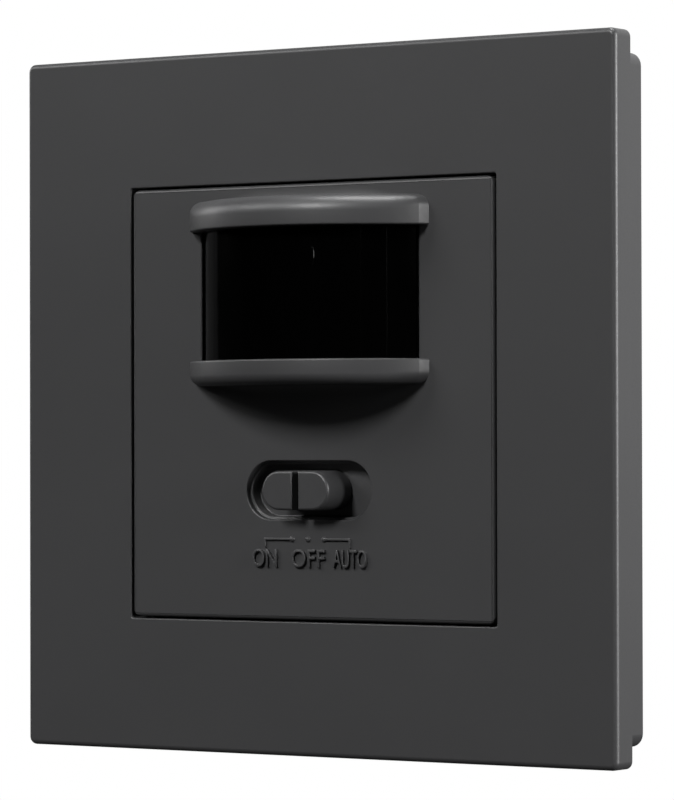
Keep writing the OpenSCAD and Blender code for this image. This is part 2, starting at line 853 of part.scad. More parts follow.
// Outer form of the cup: the insert's outline with its rear edges rounded
module cup_blank() {
    depth = insert_depth - tray_back_y;
    translate([0, insert_depth, 0]) mirror([0, 1, 0]) intersection() {
        translate([0, 0, -insert_h / 2]) linear_extrude(insert_h) round_front(insert_w, depth, cup_edge);
        rotate([0, 90, 0]) translate([0, 0, -insert_w / 2]) linear_extrude(insert_w)
            round_front(insert_h, depth, cup_edge);
        rotate([-90, 0, 0]) rotate_extrude() intersection() {
            round_front(insert_d, depth, cup_edge);
            square([insert_d, depth]);
        }
    }
}

// Rear half of the insert: a deep cup, with a notch for the terminal block
module housing_cup() {
    color(housing_black) difference() {
        union() {
            difference() {
                cup_blank();
                slab(tray_back_y - past, cup_in_y) insert_outline(-wall);
            }
            for (x = [-1, 1]) {
                at(x * boss_x, boss_z) rod(boss_r, tray_back_y, insert_depth - sink);
                for (z = rest_zs) at(x * rest_x, z) rod(rest_r, power_back_y, cup_in_y + sink);
            }
        }
        for (x = [-1, 1]) at(x * boss_x, boss_z) {
            rod(cup_screw_r + fit, tray_back_y - past, insert_depth + past);
            rod(screw_head + 2 * fit, insert_depth - cup_head_sink, insert_depth + past);
        }
        translate([-terminal_w / 2 - fit, terminal_y - fit, -insert_h])
            cube([terminal_w + 2 * fit, terminal_depth + fit + past, insert_h + terminal_top_z + fit]);
    }
}

module housing_screws() {
    color(steel) for (x = [-1, 1]) at(x * boss_x, boss_z) mirror([0, 1, 0])
        front_screw(cup_screw_r, screw_head, screw_head_t, cup_head_sink - insert_depth,
            tray_thread - tray_back_y);
}

module power_board() {
    color(board_green) slab(power_y, power_back_y) difference() {
        intersection() {
            insert_outline(-wall - fit);
            translate([-insert_w, power_low]) square([2 * insert_w, insert_h]);
        }
        for (x = [-1, 1]) translate([x * boss_x, boss_z]) {
            circle(boss_r + fit);
            translate([x * boss_r, 0]) square([2 * boss_r, 2 * (boss_r + fit)], center = true);
        }
    }
}

module relay() {
    color([0.10, 0.30, 0.62]) at(relay_x, relay_z) slab(power_y - relay_t, power_y)
        rounded(relay_w, relay_h, part_corner);
}

module dropper_capacitor() {
    color([0.80, 0.68, 0.16]) at(dropper_x, dropper_z) slab(power_y - dropper_t, power_y)
        rounded(dropper_w, dropper_h, part_corner);
}

// Round can with a crimped bead near its foot
module smoothing_capacitor() {
    color([0.10, 0.11, 0.14]) translate([smoother_x, power_y, smoother_z]) rotate([90, 0, 0]) difference() {
        cylinder(r = smoother_r, h = smoother_len);
        translate([0, 0, bead_offset]) rotate_extrude() translate([smoother_r + bead_r / 2, 0]) circle(bead_r);
    }
}

// Disc on edge, with its feet on the board
module varistor() {
    foot_len = disc_lift + disc_r / 3;
    color([0.12, 0.28, 0.55]) translate([disc_x, power_y, disc_z]) {
        translate([-disc_t / 2, -disc_r - disc_lift, 0]) rotate([0, 90, 0]) cylinder(r = disc_r, h = disc_t);
        for (z = [-1, 1]) translate([-disc_foot / 2, -foot_len, z * disc_foot_gap / 2 - disc_foot / 2])
            cube([disc_foot, foot_len, disc_foot]);
    }
}

// Glass tube with a metal cap at each end, on two short posts
module fuse() {
    fuse_y = power_y - fuse_cap_r - fuse_lift;
    color([0.85, 0.85, 0.82]) at(0, fuse_z) {
        translate([-fuse_len / 2, fuse_y, 0]) rotate([0, 90, 0]) cylinder(r = fuse_r, h = fuse_len);
        both_sides() {
            translate([fuse_len / 2 - fuse_cap_len, fuse_y, 0]) rotate([0, 90, 0])
                cylinder(r = fuse_cap_r, h = fuse_cap_len);
            translate([(fuse_len - fuse_cap_len - fuse_post) / 2, fuse_y, -fuse_post / 2])
                cube([fuse_post, power_y - fuse_y, fuse_post]);
        }
    }
}

module rectifier() {
    color(housing_black) at(bridge_x, bridge_z) slab(power_y - bridge_t, power_y)
        rounded(bridge_w, bridge_h, part_corner / 2);
}

// Pin strip on the sensor board's back that plugs into the power board
module board_link() {
    bar_back_y = board_back_y + link_bar_t;
    color(brass) at(0, link_z) {
        slab(board_back_y, bar_back_y) square([link_bar_len, link_bar_w], center = true);
        for (i = [0 : link_pins - 1]) at((i - (link_pins - 1) / 2) * link_gap, 0)
            slab(bar_back_y - sink, power_y) square(link_pin_w, center = true);
    }
}

// Terminal block in the cup's notch: wires enter from the back, screws from below.
// Its shoulders stand behind the cup's rear wall, so that a pulled wire can't draw it out.
module terminal_block() {
    color([0.55, 0.56, 0.57]) difference() {
        union() {
            at(0, terminal_z) slab(terminal_y, insert_depth) rounded(terminal_w, terminal_h, terminal_edge);
            translate([-terminal_w / 2 - shoulder, cup_in_y - fit - shoulder_t, terminal_top_z - shoulder_h])
                cube([terminal_w + 2 * shoulder, shoulder_t, shoulder_h - fit]);
        }
        for (x = terminal_xs) {
            at(x, terminal_z) rod(wire_r, clamp_mid_y, insert_depth + past);
            translate([x - clamp_w / 2 - fit, clamp_y - fit, clamp_low - fit])
                cube([clamp_w + 2 * fit, clamp_depth + 2 * fit, terminal_h]);
            translate([x, clamp_mid_y, clamp_low - terminal_h])
                cylinder(r = terminal_head_r + fit, h = terminal_h);
        }
    }
}

// Brass cages that grip the wires, each with a tag up to the power board's edge
module terminal_clamps() {
    cage_h = clamp_high - clamp_low;
    color(brass) for (x = terminal_xs) translate([x, 0, 0]) difference() {
        union() {
            translate([-clamp_w / 2, clamp_y, clamp_low]) cube([clamp_w, clamp_depth, cage_h]);
            translate([-tag_w / 2, power_y + (board_t - tag_t) / 2, clamp_high - sink])
                cube([tag_w, tag_t, power_low - clamp_high + sink]);
        }
        translate([clamp_wall - clamp_w / 2, clamp_y - past, clamp_low + clamp_foot])
            cube([clamp_w - 2 * clamp_wall, clamp_depth + 2 * past, cage_h - clamp_foot - clamp_wall]);
        translate([0, clamp_mid_y, clamp_low - past])
            cylinder(r = terminal_screw_r + fit / 4, h = clamp_foot + 2 * past);
    }
}

// Slotted screws that go up into the cages' feet
module terminal_screws() {
    head_low = terminal_z - terminal_h / 2 + terminal_head_sink;
    slot_len = 2 * (terminal_head_r + past);
    color(steel) for (x = terminal_xs) translate([x, clamp_mid_y, head_low]) difference() {
        union() {
            cylinder(r = terminal_head_r, h = terminal_head_t);
            cylinder(r = terminal_screw_r, h = clamp_low + clamp_foot - head_low);
        }
        translate([-slot_len / 2, -terminal_screw_slot / 2, -past])
            cube([slot_len, terminal_screw_slot, past + terminal_head_t / 2]);
    }
}

front_frame();
wall_frame();
cover_plate();
pir_lens();
lens_retainer();
slide_knob();
switch_lever();
switch_shell();
switch_base();
sensor_board();
pir_sensor();
sensor_filter();
light_cell();
time_trimmer();
time_dial();
lux_trimmer();
lux_dial();
control_chip();
board_screws();
support_ring();
ring_screws();
housing_tray();
housing_cup();
housing_screws();
power_board();
relay();
dropper_capacitor();
smoothing_capacitor();
varistor();
fuse();
rectifier();
board_link();
terminal_block();
terminal_clamps();
terminal_screws();
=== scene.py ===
# %% [markdown]
# # A motion sensor light switch, dressed for a product picture
#
# The object is a flush wall switch: a square frame of anthracite plastic, a cover plate with a black
# detection lens between two bowed visors, and a small slide with three positions below it. Behind the
# wall sits an insert with a support ring, two circuit boards and screw terminals.
# The solids come from a CAD model, in metres, with the wall plane at y = 0 and the front facing -Y.
# This lesson keeps every size of that model and works on what the eye sees: edges, finishes, raised
# marks, screws and light. Sizes on the object are written in millimetres, and MM turns them into
# metres. Camera, floor and lamps stand in metres.

import json
import math

import bmesh
import bpy
from mathutils import Euler, Matrix, Vector


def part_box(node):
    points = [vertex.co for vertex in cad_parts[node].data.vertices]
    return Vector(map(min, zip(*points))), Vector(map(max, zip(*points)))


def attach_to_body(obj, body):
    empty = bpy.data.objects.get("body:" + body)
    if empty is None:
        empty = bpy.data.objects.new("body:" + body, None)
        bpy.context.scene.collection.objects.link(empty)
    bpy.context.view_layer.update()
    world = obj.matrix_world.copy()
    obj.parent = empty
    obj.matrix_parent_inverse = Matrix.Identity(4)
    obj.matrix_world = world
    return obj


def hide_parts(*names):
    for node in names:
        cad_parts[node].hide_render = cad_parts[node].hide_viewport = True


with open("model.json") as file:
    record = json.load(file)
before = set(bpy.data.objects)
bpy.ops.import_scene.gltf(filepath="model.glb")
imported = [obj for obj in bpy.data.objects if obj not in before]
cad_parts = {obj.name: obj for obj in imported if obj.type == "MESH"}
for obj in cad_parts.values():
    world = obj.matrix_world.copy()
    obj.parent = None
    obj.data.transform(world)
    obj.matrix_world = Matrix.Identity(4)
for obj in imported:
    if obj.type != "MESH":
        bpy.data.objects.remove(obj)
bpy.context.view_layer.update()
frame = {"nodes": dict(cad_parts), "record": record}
MM = 0.001


def box_mm(node):
    """Lowest and highest corner of a solid in millimetres."""
    return [[round(v / MM, 3) for v in corner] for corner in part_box(node)]


# %% [markdown]
# ## Camera
#
# The photograph looks at the switch from its right, at the height of the slide, with a long lens, so
# the square front stays almost free of perspective. The place and the angles were worked out from the
# corners of the frame and of the cover plate. A long lens far away could be faked by an orthographic
# camera, but the small perspective that is there would be lost.

# %% Camera
FOCAL_LENGTH = 191.5
SENSOR_WIDTH = 36.0
CAMERA_PLACE = (0.26969, -0.40510, -0.00508)
CAMERA_ANGLES = (90.627, 0.124, 33.880)
camera_data = bpy.data.cameras.new("studio_camera")
camera_data.lens = FOCAL_LENGTH
camera_data.sensor_width = SENSOR_WIDTH
camera_data.clip_start = 0.01
camera = bpy.data.objects.new("studio_camera", camera_data)
camera.location = CAMERA_PLACE
camera.rotation_euler = Euler([math.radians(angle) for angle in CAMERA_ANGLES])
bpy.context.scene.collection.objects.link(camera)
bpy.context.scene.camera = camera
bpy.context.scene.view_settings.view_transform = "Standard"
print("camera at", [round(v, 4) for v in camera.location])

# %% [markdown]
# ## Colours and nodes
#
# Every colour in this lesson is written as an sRGB hex value, the way a paint card or a picture shows
# it. Shaders calculate in linear light, so one function turns the hex into linear numbers. A second
# function adds a node: the settings are its properties, and the inputs are either plain values or the
# output of another node, which then gets linked.

# %% Helpers for colours and nodes
def linear(hex_colour):
    parts = [int(hex_colour[i:i + 2], 16) / 255 for i in (1, 3, 5)]
    return tuple(p / 12.92 if p <= 0.04045 else ((p + 0.055) / 1.055) ** 2.4 for p in parts) + (1.0,)


def add(tree, kind, inputs=None, **settings):
    made = tree.nodes.new(kind)
    for name, value in settings.items():
        setattr(made, name, value)
    for socket, value in (inputs or {}).items():
        if isinstance(value, bpy.types.NodeSocket):
            tree.links.new(value, made.inputs[socket])
        else:
            made.inputs[socket].default_value = value
    return made


print("anthracite in linear light:", [round(c, 4) for c in linear("#383839")])

# %% [markdown]
# ## Grained finishes
#
# Almost every part of the switch is moulded, cast, plated or coated, and all of these surfaces share
# one recipe: a colour that drifts a little, a roughness that drifts with it, and a fine relief. The
# recipe could be copied into each material. One function is shorter, and each call below only says
# what is special: the two colours, the size of the grain in millimetres, the gloss and the relief.

# %% Recipe of a grained finish
NOISE_LOW, NOISE_HIGH = 0.3, 0.7  # noise seldom leaves this band, so it is spread over the whole gloss


def grained(name, dark, light, grain_mm, rough, relief_mm, stretch=(1, 1, 1), cloud_mm=9.0, **sockets):
    material = bpy.data.materials.new(name)
    material.use_nodes = True
    tree = material.node_tree
    tree.nodes.clear()
    place = add(tree, "ShaderNodeTexCoord").outputs["Object"]
    place = add(tree, "ShaderNodeMapping", {"Vector": place, "Scale": stretch}).outputs["Vector"]
    cloud = add(tree, "ShaderNodeTexNoise", {"Vector": place, "Scale": 1 / (cloud_mm * MM), "Detail": 3.0})
    grain = add(tree, "ShaderNodeTexNoise", {"Vector": place, "Scale": 1 / (grain_mm * MM), "Detail": 2.0})
    colour = add(tree, "ShaderNodeMix", {0: cloud.outputs["Fac"], 6: linear(dark), 7: linear(light)},
                 data_type="RGBA")
    gloss = add(tree, "ShaderNodeMapRange", {"Value": grain.outputs["Fac"],
                                             "From Min": NOISE_LOW, "From Max": NOISE_HIGH,
                                             "To Min": rough[0], "To Max": rough[1]})
    bump = add(tree, "ShaderNodeBump", {"Height": grain.outputs["Fac"], "Strength": 1.0,
                                        "Distance": relief_mm * MM})
    shader = add(tree, "ShaderNodeBsdfPrincipled", {"Base Color": colour.outputs[2],
                                                    "Roughness": gloss.outputs["Result"],
                                                    "Normal": bump.outputs["Normal"]})
    for socket, value in sockets.items():
        shader.inputs[socket.replace("_", " ")].default_value = value
    add(tree, "ShaderNodeOutputMaterial", {"Surface": shader.outputs["BSDF"]})
    print("made", name)
    return material


finishes = {}

# %% [markdown]
# ## Anthracite ABS
#
# The frame, the cover plate and the knob are ABS dyed anthracite and moulded in a spark-eroded tool.
# The tool leaves a fine frosted grain of a few hundredths of a millimetre, which makes the flat faces
# look matt while every rounded edge still draws a soft, satin line of light. The real grain is too
# fine to show at this picture size, so it is drawn at 0.22 mm and kept very shallow.

# %% Anthracite ABS
anthracite = grained(
    "anthracite_abs_frosted", "#383839", "#3c3c3d", grain_mm=0.22, rough=(0.39, 0.47), relief_mm=0.002,
    cloud_mm=14.0, IOR=1.53)
finishes["anthracite_plastic"] = anthracite

# %% [markdown]
# ## Black polyethylene lens
#
# The window is a bowed sheet of polyethylene that lets heat rays through and looks black. It is
# pressed smooth, so it mirrors like dark water, but soft plastic is never quite even: reflections
# waver slowly along it. A long vertical noise gives that waver. The dye is almost fully black, and the
# IOR is set below that of clear polyethylene, because the photographed lens mirrors very little.

# %% Lens polyethylene
lens_black = grained(
    "lens_polyethylene_black", "#010101", "#020202", grain_mm=2.6, rough=(0.08, 0.14), relief_mm=0.03,
    stretch=(1, 1, 0.3), IOR=1.28)
finishes["lens_plastic"] = lens_black

# %% [markdown]
# ## Finishes of the insert
#
# The insert behind the wall is not in the photograph, but it is part of the object and can be turned
# to. Its finishes are those of any flush wall switch. Plain colours would do at this distance; the
# recipe above costs no more and still holds up when someone looks closely.

# %% Housing, metals and terminal block
# Glass-filled polyamide: a dull black with pale fibres near the skin that give it a slightly dry look.
finishes["housing_plastic"] = grained(
    "polyamide_black_glass_filled", "#1b1b1c", "#262627", 0.5, (0.42, 0.62), 0.006, cloud_mm=3.0, IOR=1.53)
# Bright zinc on rolled steel: grey metal with faint rolling lines along X and cloudy patches.
finishes["zinc_steel"] = grained(
    "zinc_plated_steel", "#b4b7bb", "#c9cbce", 0.35, (0.30, 0.46), 0.0008, stretch=(0.12, 1, 1),
    cloud_mm=4.0, Metallic=1.0)
# Half-hard brass strip: warm yellow metal, drawn lines along Z.
finishes["contact_brass"] = grained(
    "brass_strip", "#b9934a", "#d0ac62", 0.3, (0.22, 0.36), 0.002, stretch=(1, 1, 0.15), cloud_mm=3.0,
    Metallic=1.0)
# Grey polycarbonate of the terminal block: satin, slightly cloudy.
finishes["terminal_grey"] = grained(
    "polycarbonate_grey", "#8b8d8f", "#97999b", 0.3, (0.34, 0.46), 0.003, IOR=1.58)

# %% [markdown]
# ## Finishes of the electronic parts
#
# Boards and parts come in the colours their makers have always used: green lacquer, brown hard paper,
# blue cases, yellow capacitors. They could share one coloured plastic, but lacquer, ceramic, sleeve
# and glass differ in gloss, and gloss is what tells them apart.

# %% Boards, filter, light cell and settings
# Green solder mask on laminate: glossy lacquer over a weave that shows as small clouds of tone.
finishes["board_laminate"] = grained(
    "solder_mask_green", "#0d4a2b", "#146038", 0.6, (0.18, 0.32), 0.004, cloud_mm=2.0, IOR=1.5)
# Hard paper soaked in phenolic resin: brown, dull, streaky.
finishes["phenolic_brown"] = grained(
    "phenolic_paper_brown", "#4f2f18", "#6a4324", 0.4, (0.45, 0.62), 0.004, stretch=(0.3, 1, 1), IOR=1.55)
# Coated germanium-like filter: a dark purple-grey mirror.
finishes["filter_window"] = grained(
    "infrared_filter_glass", "#241f2a", "#2f2836", 1.2, (0.05, 0.10), 0.001, IOR=2.0)
# Sintered cell of a photo resistor: sandy ceramic.
finishes["cell_ceramic"] = grained(
    "cell_ceramic_sand", "#b07f42", "#c99a5c", 0.25, (0.5, 0.7), 0.008, IOR=1.6)
# Blue thermoplastic of a trimmer and lacquer of a disc varistor: satin.
finishes["trimmer_blue"] = grained(
    "trimmer_case_blue", "#1f4f92", "#2a5ea3", 0.3, (0.30, 0.45), 0.004, IOR=1.53)
# Ivory polyacetal of the dials: soft sheen.
finishes["dial_ivory"] = grained(
    "polyacetal_ivory", "#d9d3c0", "#e6e1d1", 0.4, (0.30, 0.42), 0.003, IOR=1.48)

# %% Relay, capacitors and fuse
# Relay case: blue polybutylene, a little glossy.
finishes["relay_blue"] = grained(
    "relay_case_blue", "#1a4aa0", "#2254ad", 0.35, (0.26, 0.38), 0.003, IOR=1.55)
# Film capacitor: yellow dipped box with rounded edges.
finishes["film_yellow"] = grained(
    "capacitor_box_yellow", "#cba41f", "#d9b432", 0.4, (0.28, 0.42), 0.004, IOR=1.55)
# Shrunk sleeve of an electrolytic can: near black, glossy, with long wrinkles.
finishes["can_sleeve"] = grained(
    "shrink_sleeve_black", "#14161c", "#1c1f27", 0.8, (0.15, 0.28), 0.006, stretch=(1, 0.3, 1), IOR=1.53)
# Fuse tube: clear glass that carries a faint green.
finishes["fuse_glass"] = grained(
    "fuse_tube_glass", "#dfe6e0", "#e9eee9", 1.5, (0.02, 0.06), 0.001, IOR=1.52, Transmission_Weight=0.9)
print("finishes:", len(finishes))

# %% [markdown]
# ## Small tools of the bench
#
# Every piece ends as one plain mesh whose faces point outwards. Recalculated normals are right for most
# builds, but a thin one can still come out turned over as a whole. Its signed volume is negative then,
# and all its faces are reversed. Smooth shading up to an angle lets round walls look round and keeps
# true corners crisp.

# %% Tools for meshes
CRISP = 40  # degrees from which a corner stays crisp


def new_object(name, data):
    obj = bpy.data.objects.new(name, data)
    bpy.context.scene.collection.objects.link(obj)
    return obj


def keep_mesh(obj):
    """Turns the evaluated object into a plain mesh and takes its modifiers off."""
    graph = bpy.context.evaluated_depsgraph_get()
    mesh = bpy.data.meshes.new_from_object(obj.evaluated_get(graph), depsgraph=graph)
    obj.modifiers.clear()
    obj.data = mesh
    return obj


def finish_mesh(name, builder):
    """Turns a closed build into a mesh whose faces point outwards."""
    bmesh.ops.recalc_face_normals(builder, faces=builder.faces)
    if builder.calc_volume(signed=True) < 0:
        bmesh.ops.reverse_faces(builder, faces=builder.faces)
    mesh = bpy.data.meshes.new(name)
    builder.to_mesh(mesh)
    builder.free()
    return mesh


def smooth(mesh, degrees=CRISP):
    mesh.shade_smooth()
    mesh.set_sharp_from_angle(angle=math.radians(degrees))


def join_rings(builder, rings):
    """Spans faces from each ring of verts to the next; a ring that repeats one vert is a pole."""
    for ring, after in zip(rings, rings[1:]):
        for i in range(len(ring)):
            j = (i + 1) % len(ring)
            corners = (ring[i], ring[j], after[j], after[i])
            builder.faces.new(list(dict.fromkeys(corners)))


print("triangles in the solids:", sum(len(solid.data.polygons) for solid in frame["nodes"].values()))

# %% [markdown]
# ## Soft edges on every moulded part
#
# A CAD solid has knife edges, and nothing that leaves a mould has. The tiny radius on each edge is
# what catches the light and tells the eye how big a thing is. It could be faked by a bevel node in the
# material, but the mesh that leaves this scene would lose it. So a bevel modifier runs along every
# corner that is sharper than 35 degrees, mostly a tenth of a millimetre wide. Weighted normals then
# keep the flat faces flat and leave the turning to the narrow strips of the bevel.

# %% Soft edges
SHARP = math.radians(35)
NORMAL_WEIGHT = 60


def flatten(obj, by_strength=False):
    """Weighted normals: wide faces shade flat and leave the turning to the narrow ones beside them."""
    weights = obj.modifiers.new("flat_faces", "WEIGHTED_NORMAL")
    weights.keep_sharp = True
    weights.weight = NORMAL_WEIGHT
    weights.use_face_influence = by_strength
    return keep_mesh(obj)


def soften(obj, bevel_mm, segments=3):
    """Rounds the sharp edges, or those that carry a weight, by that share of the radius."""
    bevel = obj.modifiers.new("edge_radius", "BEVEL")
    bevel.width = bevel_mm * MM
    bevel.segments = segments
    weighted = "bevel_weight_edge" in obj.data.attributes
    bevel.limit_method = "WEIGHT" if weighted else "ANGLE"
    bevel.angle_limit = SHARP
    bevel.use_clamp_overlap = False
    bevel.miter_outer = "MITER_ARC"
    bevel.face_strength_mode = "FSTR_ALL"
    return flatten(obj, by_strength=True)


print("edges get a radius from", round(math.degrees(SHARP)), "degrees on")

# %% [markdown]
# ## Seams in flat faces
#
# The CAD mesh arrives as loose triangles. A bevel runs clean only along faces that are as large as the
# real ones, so flat neighbours are joined. A flat face with a hole can't be one polygon and needs lines
# across it. Usually these go from one inward corner to the next. On plates with round holes they would
# meet the rims at a slant and fold the bevel, so there the face is divided along planes through the
# middle of the holes, where a line meets the rim squarely.

# %% Seams
FLAT = math.radians(0.4)
CUT_MM = 0.001
SEAM_MM = 0.005


def everything(builder):
    return builder.verts[:] + builder.edges[:] + builder.faces[:]


def seam(builder, planes):
    """Leaves flat faces with holes in pieces that meet only on these planes, given as normal and mm."""
    for normal, offset in planes:
        bmesh.ops.bisect_plane(builder, geom=everything(builder), dist=CUT_MM * MM, plane_no=normal,
                               plane_co=Vector(normal) * offset * MM)

    def on_seam(edge):
        return any(all(abs(v.co.dot(Vector(normal)) / MM - offset) < SEAM_MM for v in edge.verts)
                   for normal, offset in planes)

    loose = [edge for edge in builder.edges if edge.calc_face_angle(1) < FLAT and not on_seam(edge)]
    bmesh.ops.dissolve_edges(builder, edges=loose)


print("faces are joined up to", round(math.degrees(FLAT), 1), "degrees")

# %% [markdown]
# ## From solid to dressed piece
#
# A CAD object is never changed. Its mesh is copied, the copy is merged, and then it may be cut flat at
# a plane and given weights that make some edges rounder than others. One radius for all would be
# simpler, but a real moulding is round where fingers and light meet it and nearly sharp where it locks.

# %% Cut and weights
def cut_flat(builder, y):
    """Takes off all that stands in front of the plane at y and closes the cut."""
    bmesh.ops.bisect_plane(builder, geom=everything(builder), dist=CUT_MM * MM, plane_co=(0, y, 0),
                           plane_no=(0, -1, 0), clear_outer=True)
    rims = [edge for edge in builder.edges if edge.is_boundary]
    bmesh.ops.holes_fill(builder, edges=rims, sides=0)
    bmesh.ops.recalc_face_normals(builder, faces=builder.faces)


def weigh(builder, share):
    """Writes on each sharp edge which part of the radius it gets."""
    weight = builder.edges.layers.float.new("bevel_weight_edge")
    for edge in builder.edges:
        if edge.calc_face_angle(0) > SHARP:
            edge[weight] = share((edge.verts[0].co + edge.verts[1].co) / 2 / MM)


# %% Dressing a solid
MERGE_MM = 0.002
CRISP_BESIDE_BEVEL = 50


def dress(node, bevel_mm, cut_y=None, share=None, planes=()):
    """Copies a solid with soft edges. cut_y is a plane to cut at, share(point) says which part of the
    radius an edge gets, if not all of it, and planes are the seams of its flat faces."""
    mesh = frame["nodes"][node].data.copy()
    builder = bmesh.new()
    builder.from_mesh(mesh)
    bmesh.ops.remove_doubles(builder, verts=builder.verts, dist=MERGE_MM * MM)
    if cut_y is not None:
        cut_flat(builder, cut_y)
    bmesh.ops.dissolve_limit(builder, angle_limit=FLAT, verts=builder.verts, edges=builder.edges)
    if planes:
        seam(builder, planes)
    else:
        bmesh.ops.connect_verts_concave(builder, faces=builder.faces)
    if share:
        weigh(builder, share)
    builder.to_mesh(mesh)
    builder.free()
    if "custom_normal" in mesh.attributes:
        mesh.attributes.remove(mesh.attributes["custom_normal"])
    smooth(mesh, CRISP_BESIDE_BEVEL)
    return soften(new_object(node + "_finished", mesh), bevel_mm)


print("verts closer than", MERGE_MM, "mm become one")

# %% [markdown]
# ## Bodies and slots
#
# The insert, the slide and the two dials are bodies that move against each other. Every piece made here
# belongs to one of them, and the record of the model says which, and which finish each solid has.
# Reading both from the record is safer than writing them a second time.

# %% Where a piece belongs
slot_of = {part["node"]: part["material_slot"] for part in frame["record"]["subparts"]}
body_of = {node: body for body, nodes in frame["record"]["behaviour"]["bodies"].items() for node in nodes}


def attach(obj, node):
    """Lets a piece move with the body of a solid."""
    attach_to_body(obj, body_of[node])
    print(obj.name, len(obj.data.polygons), "faces")


def dye(obj, node):
    """Gives a piece the finish of a solid."""
    obj.data.materials.clear()
    obj.data.materials.append(finishes[slot_of[node]])


def settle(obj, node):
    """Lets a piece stand for a solid, which is hidden."""
    dye(obj, node)
    attach(obj, node)
    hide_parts(node)


moving = [node for node, body in body_of.items() if body != body_of["front_frame"]]
print("solids that move against the frame:", moving)

# %% [markdown]
# ## Cover plate
#
# The cover plate is one moulding with the window, the stepped recess of the slide and the pins and
# latches behind. Its solid also has plain visors. They are cut off level with the front, because the
# next step draws them finer. The jambs of the window are the roundest edges, the outline comes next,
# and the recess is crisp, so each edge gets its own share of the radius.

# %% Cover plate
frame_low, frame_high = box_mm("front_frame")
FRONT_Y = frame_low[1]
COVER_HALF = box_mm("cover_plate")[1][0]
WINDOW_HALF = 14.6
COVER_EDGE_R = 0.35
CLOSE_MM = 0.05


def cover_share(point):
    if point.y < FRONT_Y + CLOSE_MM:
        if abs(abs(point.x) - WINDOW_HALF) < CLOSE_MM:
            return 1.0
        if max(abs(point.x), abs(point.z)) > COVER_HALF - CLOSE_MM:
            return 0.6
    return 0.36


settle(dress("cover_plate", COVER_EDGE_R, FRONT_Y * MM, cover_share), "cover_plate")

# %% [markdown]
# ## Knob of the slide
#
# A finger pushes the knob to one of its three places. The cap is round all over, the thumb groove in
# its middle less so, and the foot and the snap hooks in the recess hardly at all. The solid has the
# right form already, so it only needs these radii.

# %% Knob
KNOB_EDGE_R = 0.26
CAP_DEPTH = 1.5
GROOVE_HALF = 0.6


def knob_share(point):
    if point.y > FRONT_Y + CAP_DEPTH:
        return 0.1
    return 0.5 if abs(point.x) < GROOVE_HALF else 1.0


settle(dress("slide_knob", KNOB_EDGE_R, share=knob_share), "slide_knob")

# %% [markdown]
# ## The two visors
#
# The visors shade the lens from above and below. In the real cover they are moulded in one piece with
# the plate; here the plate was cut flat and each visor is drawn again, because its look is all in the
# way one broad radius turns into the next. A bevel on the solid could not do that. First comes the
# plan: an arc, with a short slanted facet at each end that runs a little way into the plate.

# %% Plan of a visor
BOW_Y = 2.601
VISOR_R = 20.301
VISOR_HALF = 16.15
FACET_X = 15.6
FOLD_Y = BOW_Y - math.sqrt(VISOR_R ** 2 - FACET_X ** 2)
BOW_STEPS = 40
FACET_STEPS = 6
FACET_STRIDE = 0.18  # six strides are 1.08 of the facet, so its end is inside the plate


def visor_plan():
    """Places from the middle to the right end: x, y and the outward direction in plan."""
    plan = []
    for i in range(BOW_STEPS + 1):
        angle = math.asin(FACET_X / VISOR_R) * i / BOW_STEPS
        out_x, out_y = math.sin(angle), -math.cos(angle)
        plan.append((VISOR_R * out_x, BOW_Y + VISOR_R * out_y, out_x, out_y))
    along = Vector((VISOR_HALF - FACET_X, FRONT_Y - FOLD_Y))
    out = along.normalized()
    for i in range(FACET_STEPS + 1):
        x, y = Vector((FACET_X, FOLD_Y)) + along * FACET_STRIDE * i
        plan.append((x, y, out.y, -out.x))
    return plan


print("places along half a visor:", len(visor_plan()))

# %% [markdown]
# The section is a closed line: round a small lip, up the front, over a round shoulder, back to the
# plate and through a hollow into it. Towards the ends the hollow runs out and the shoulder takes the
# radius that fits the facet, and a smooth step between two places makes both changes soft.

# %% Section of a visor
VISOR_LIP_R = 0.2
HOLLOW_HEIGHT = 1.3
HOLLOW_DEPTH = 0.22
HOLLOW_FADE_X = (6.0, 15.4)
FACET_SHOULDER_R = 1.43
SHOULDER_FROM_X = 12.5
SKIN = 0.004  # keeps the hollow's end just in front of the plate, so that no two faces share a plane
ROOT_DEPTH = 0.8
TURN_STEPS = 12
QUARTER_TURN = [math.pi / (2 * TURN_STEPS) * i for i in range(TURN_STEPS + 1)]


def ease(low, high, value):
    part = min(max((value - low) / (high - low), 0), 1)
    return part * part * (3 - 2 * part)


def visor_section(x, y, out_x, out_y, low, high, shoulder):
    """One closed section as (x, y, z) in mm: up the front, over the shoulder and into the hollow."""
    round_r = shoulder + (FACET_SHOULDER_R - shoulder) * ease(SHOULDER_FROM_X, FACET_X, x)
    rows = [(VISOR_LIP_R * (1 - math.sin(t)), low + VISOR_LIP_R * (1 - math.cos(t)))
            for t in QUARTER_TURN]
    rows += [(round_r * (1 - math.cos(t)), high - round_r * (1 - math.sin(t))) for t in QUARTER_TURN]
    points = [(x - out_x * inset, y - out_y * inset, z) for inset, z in rows]
    back_x, back_y, back_z = points[-1]
    plate_y = max(FRONT_Y - SKIN, back_y)
    fade = 1 - ease(*HOLLOW_FADE_X, x)
    depth = min(HOLLOW_DEPTH * fade, plate_y - back_y)
    height = HOLLOW_HEIGHT * fade
    points += [(back_x, plate_y - depth * (1 - math.sin(t)), back_z + height * (1 - math.cos(t)))
               for t in QUARTER_TURN]
    root_y = FRONT_Y + ROOT_DEPTH
    points += [(back_x, root_y, back_z + height), (points[0][0], root_y, low)]
    return points


print("points round a section:", 3 * len(QUARTER_TURN) + 2)

# %% [markdown]
# The sections of the right half and their mirror images on the left are joined into one closed bar. The
# lower visor is the same bar, turned upside down about the middle of the window. The fold between bow
# and facet is a true edge, so it is marked sharp.

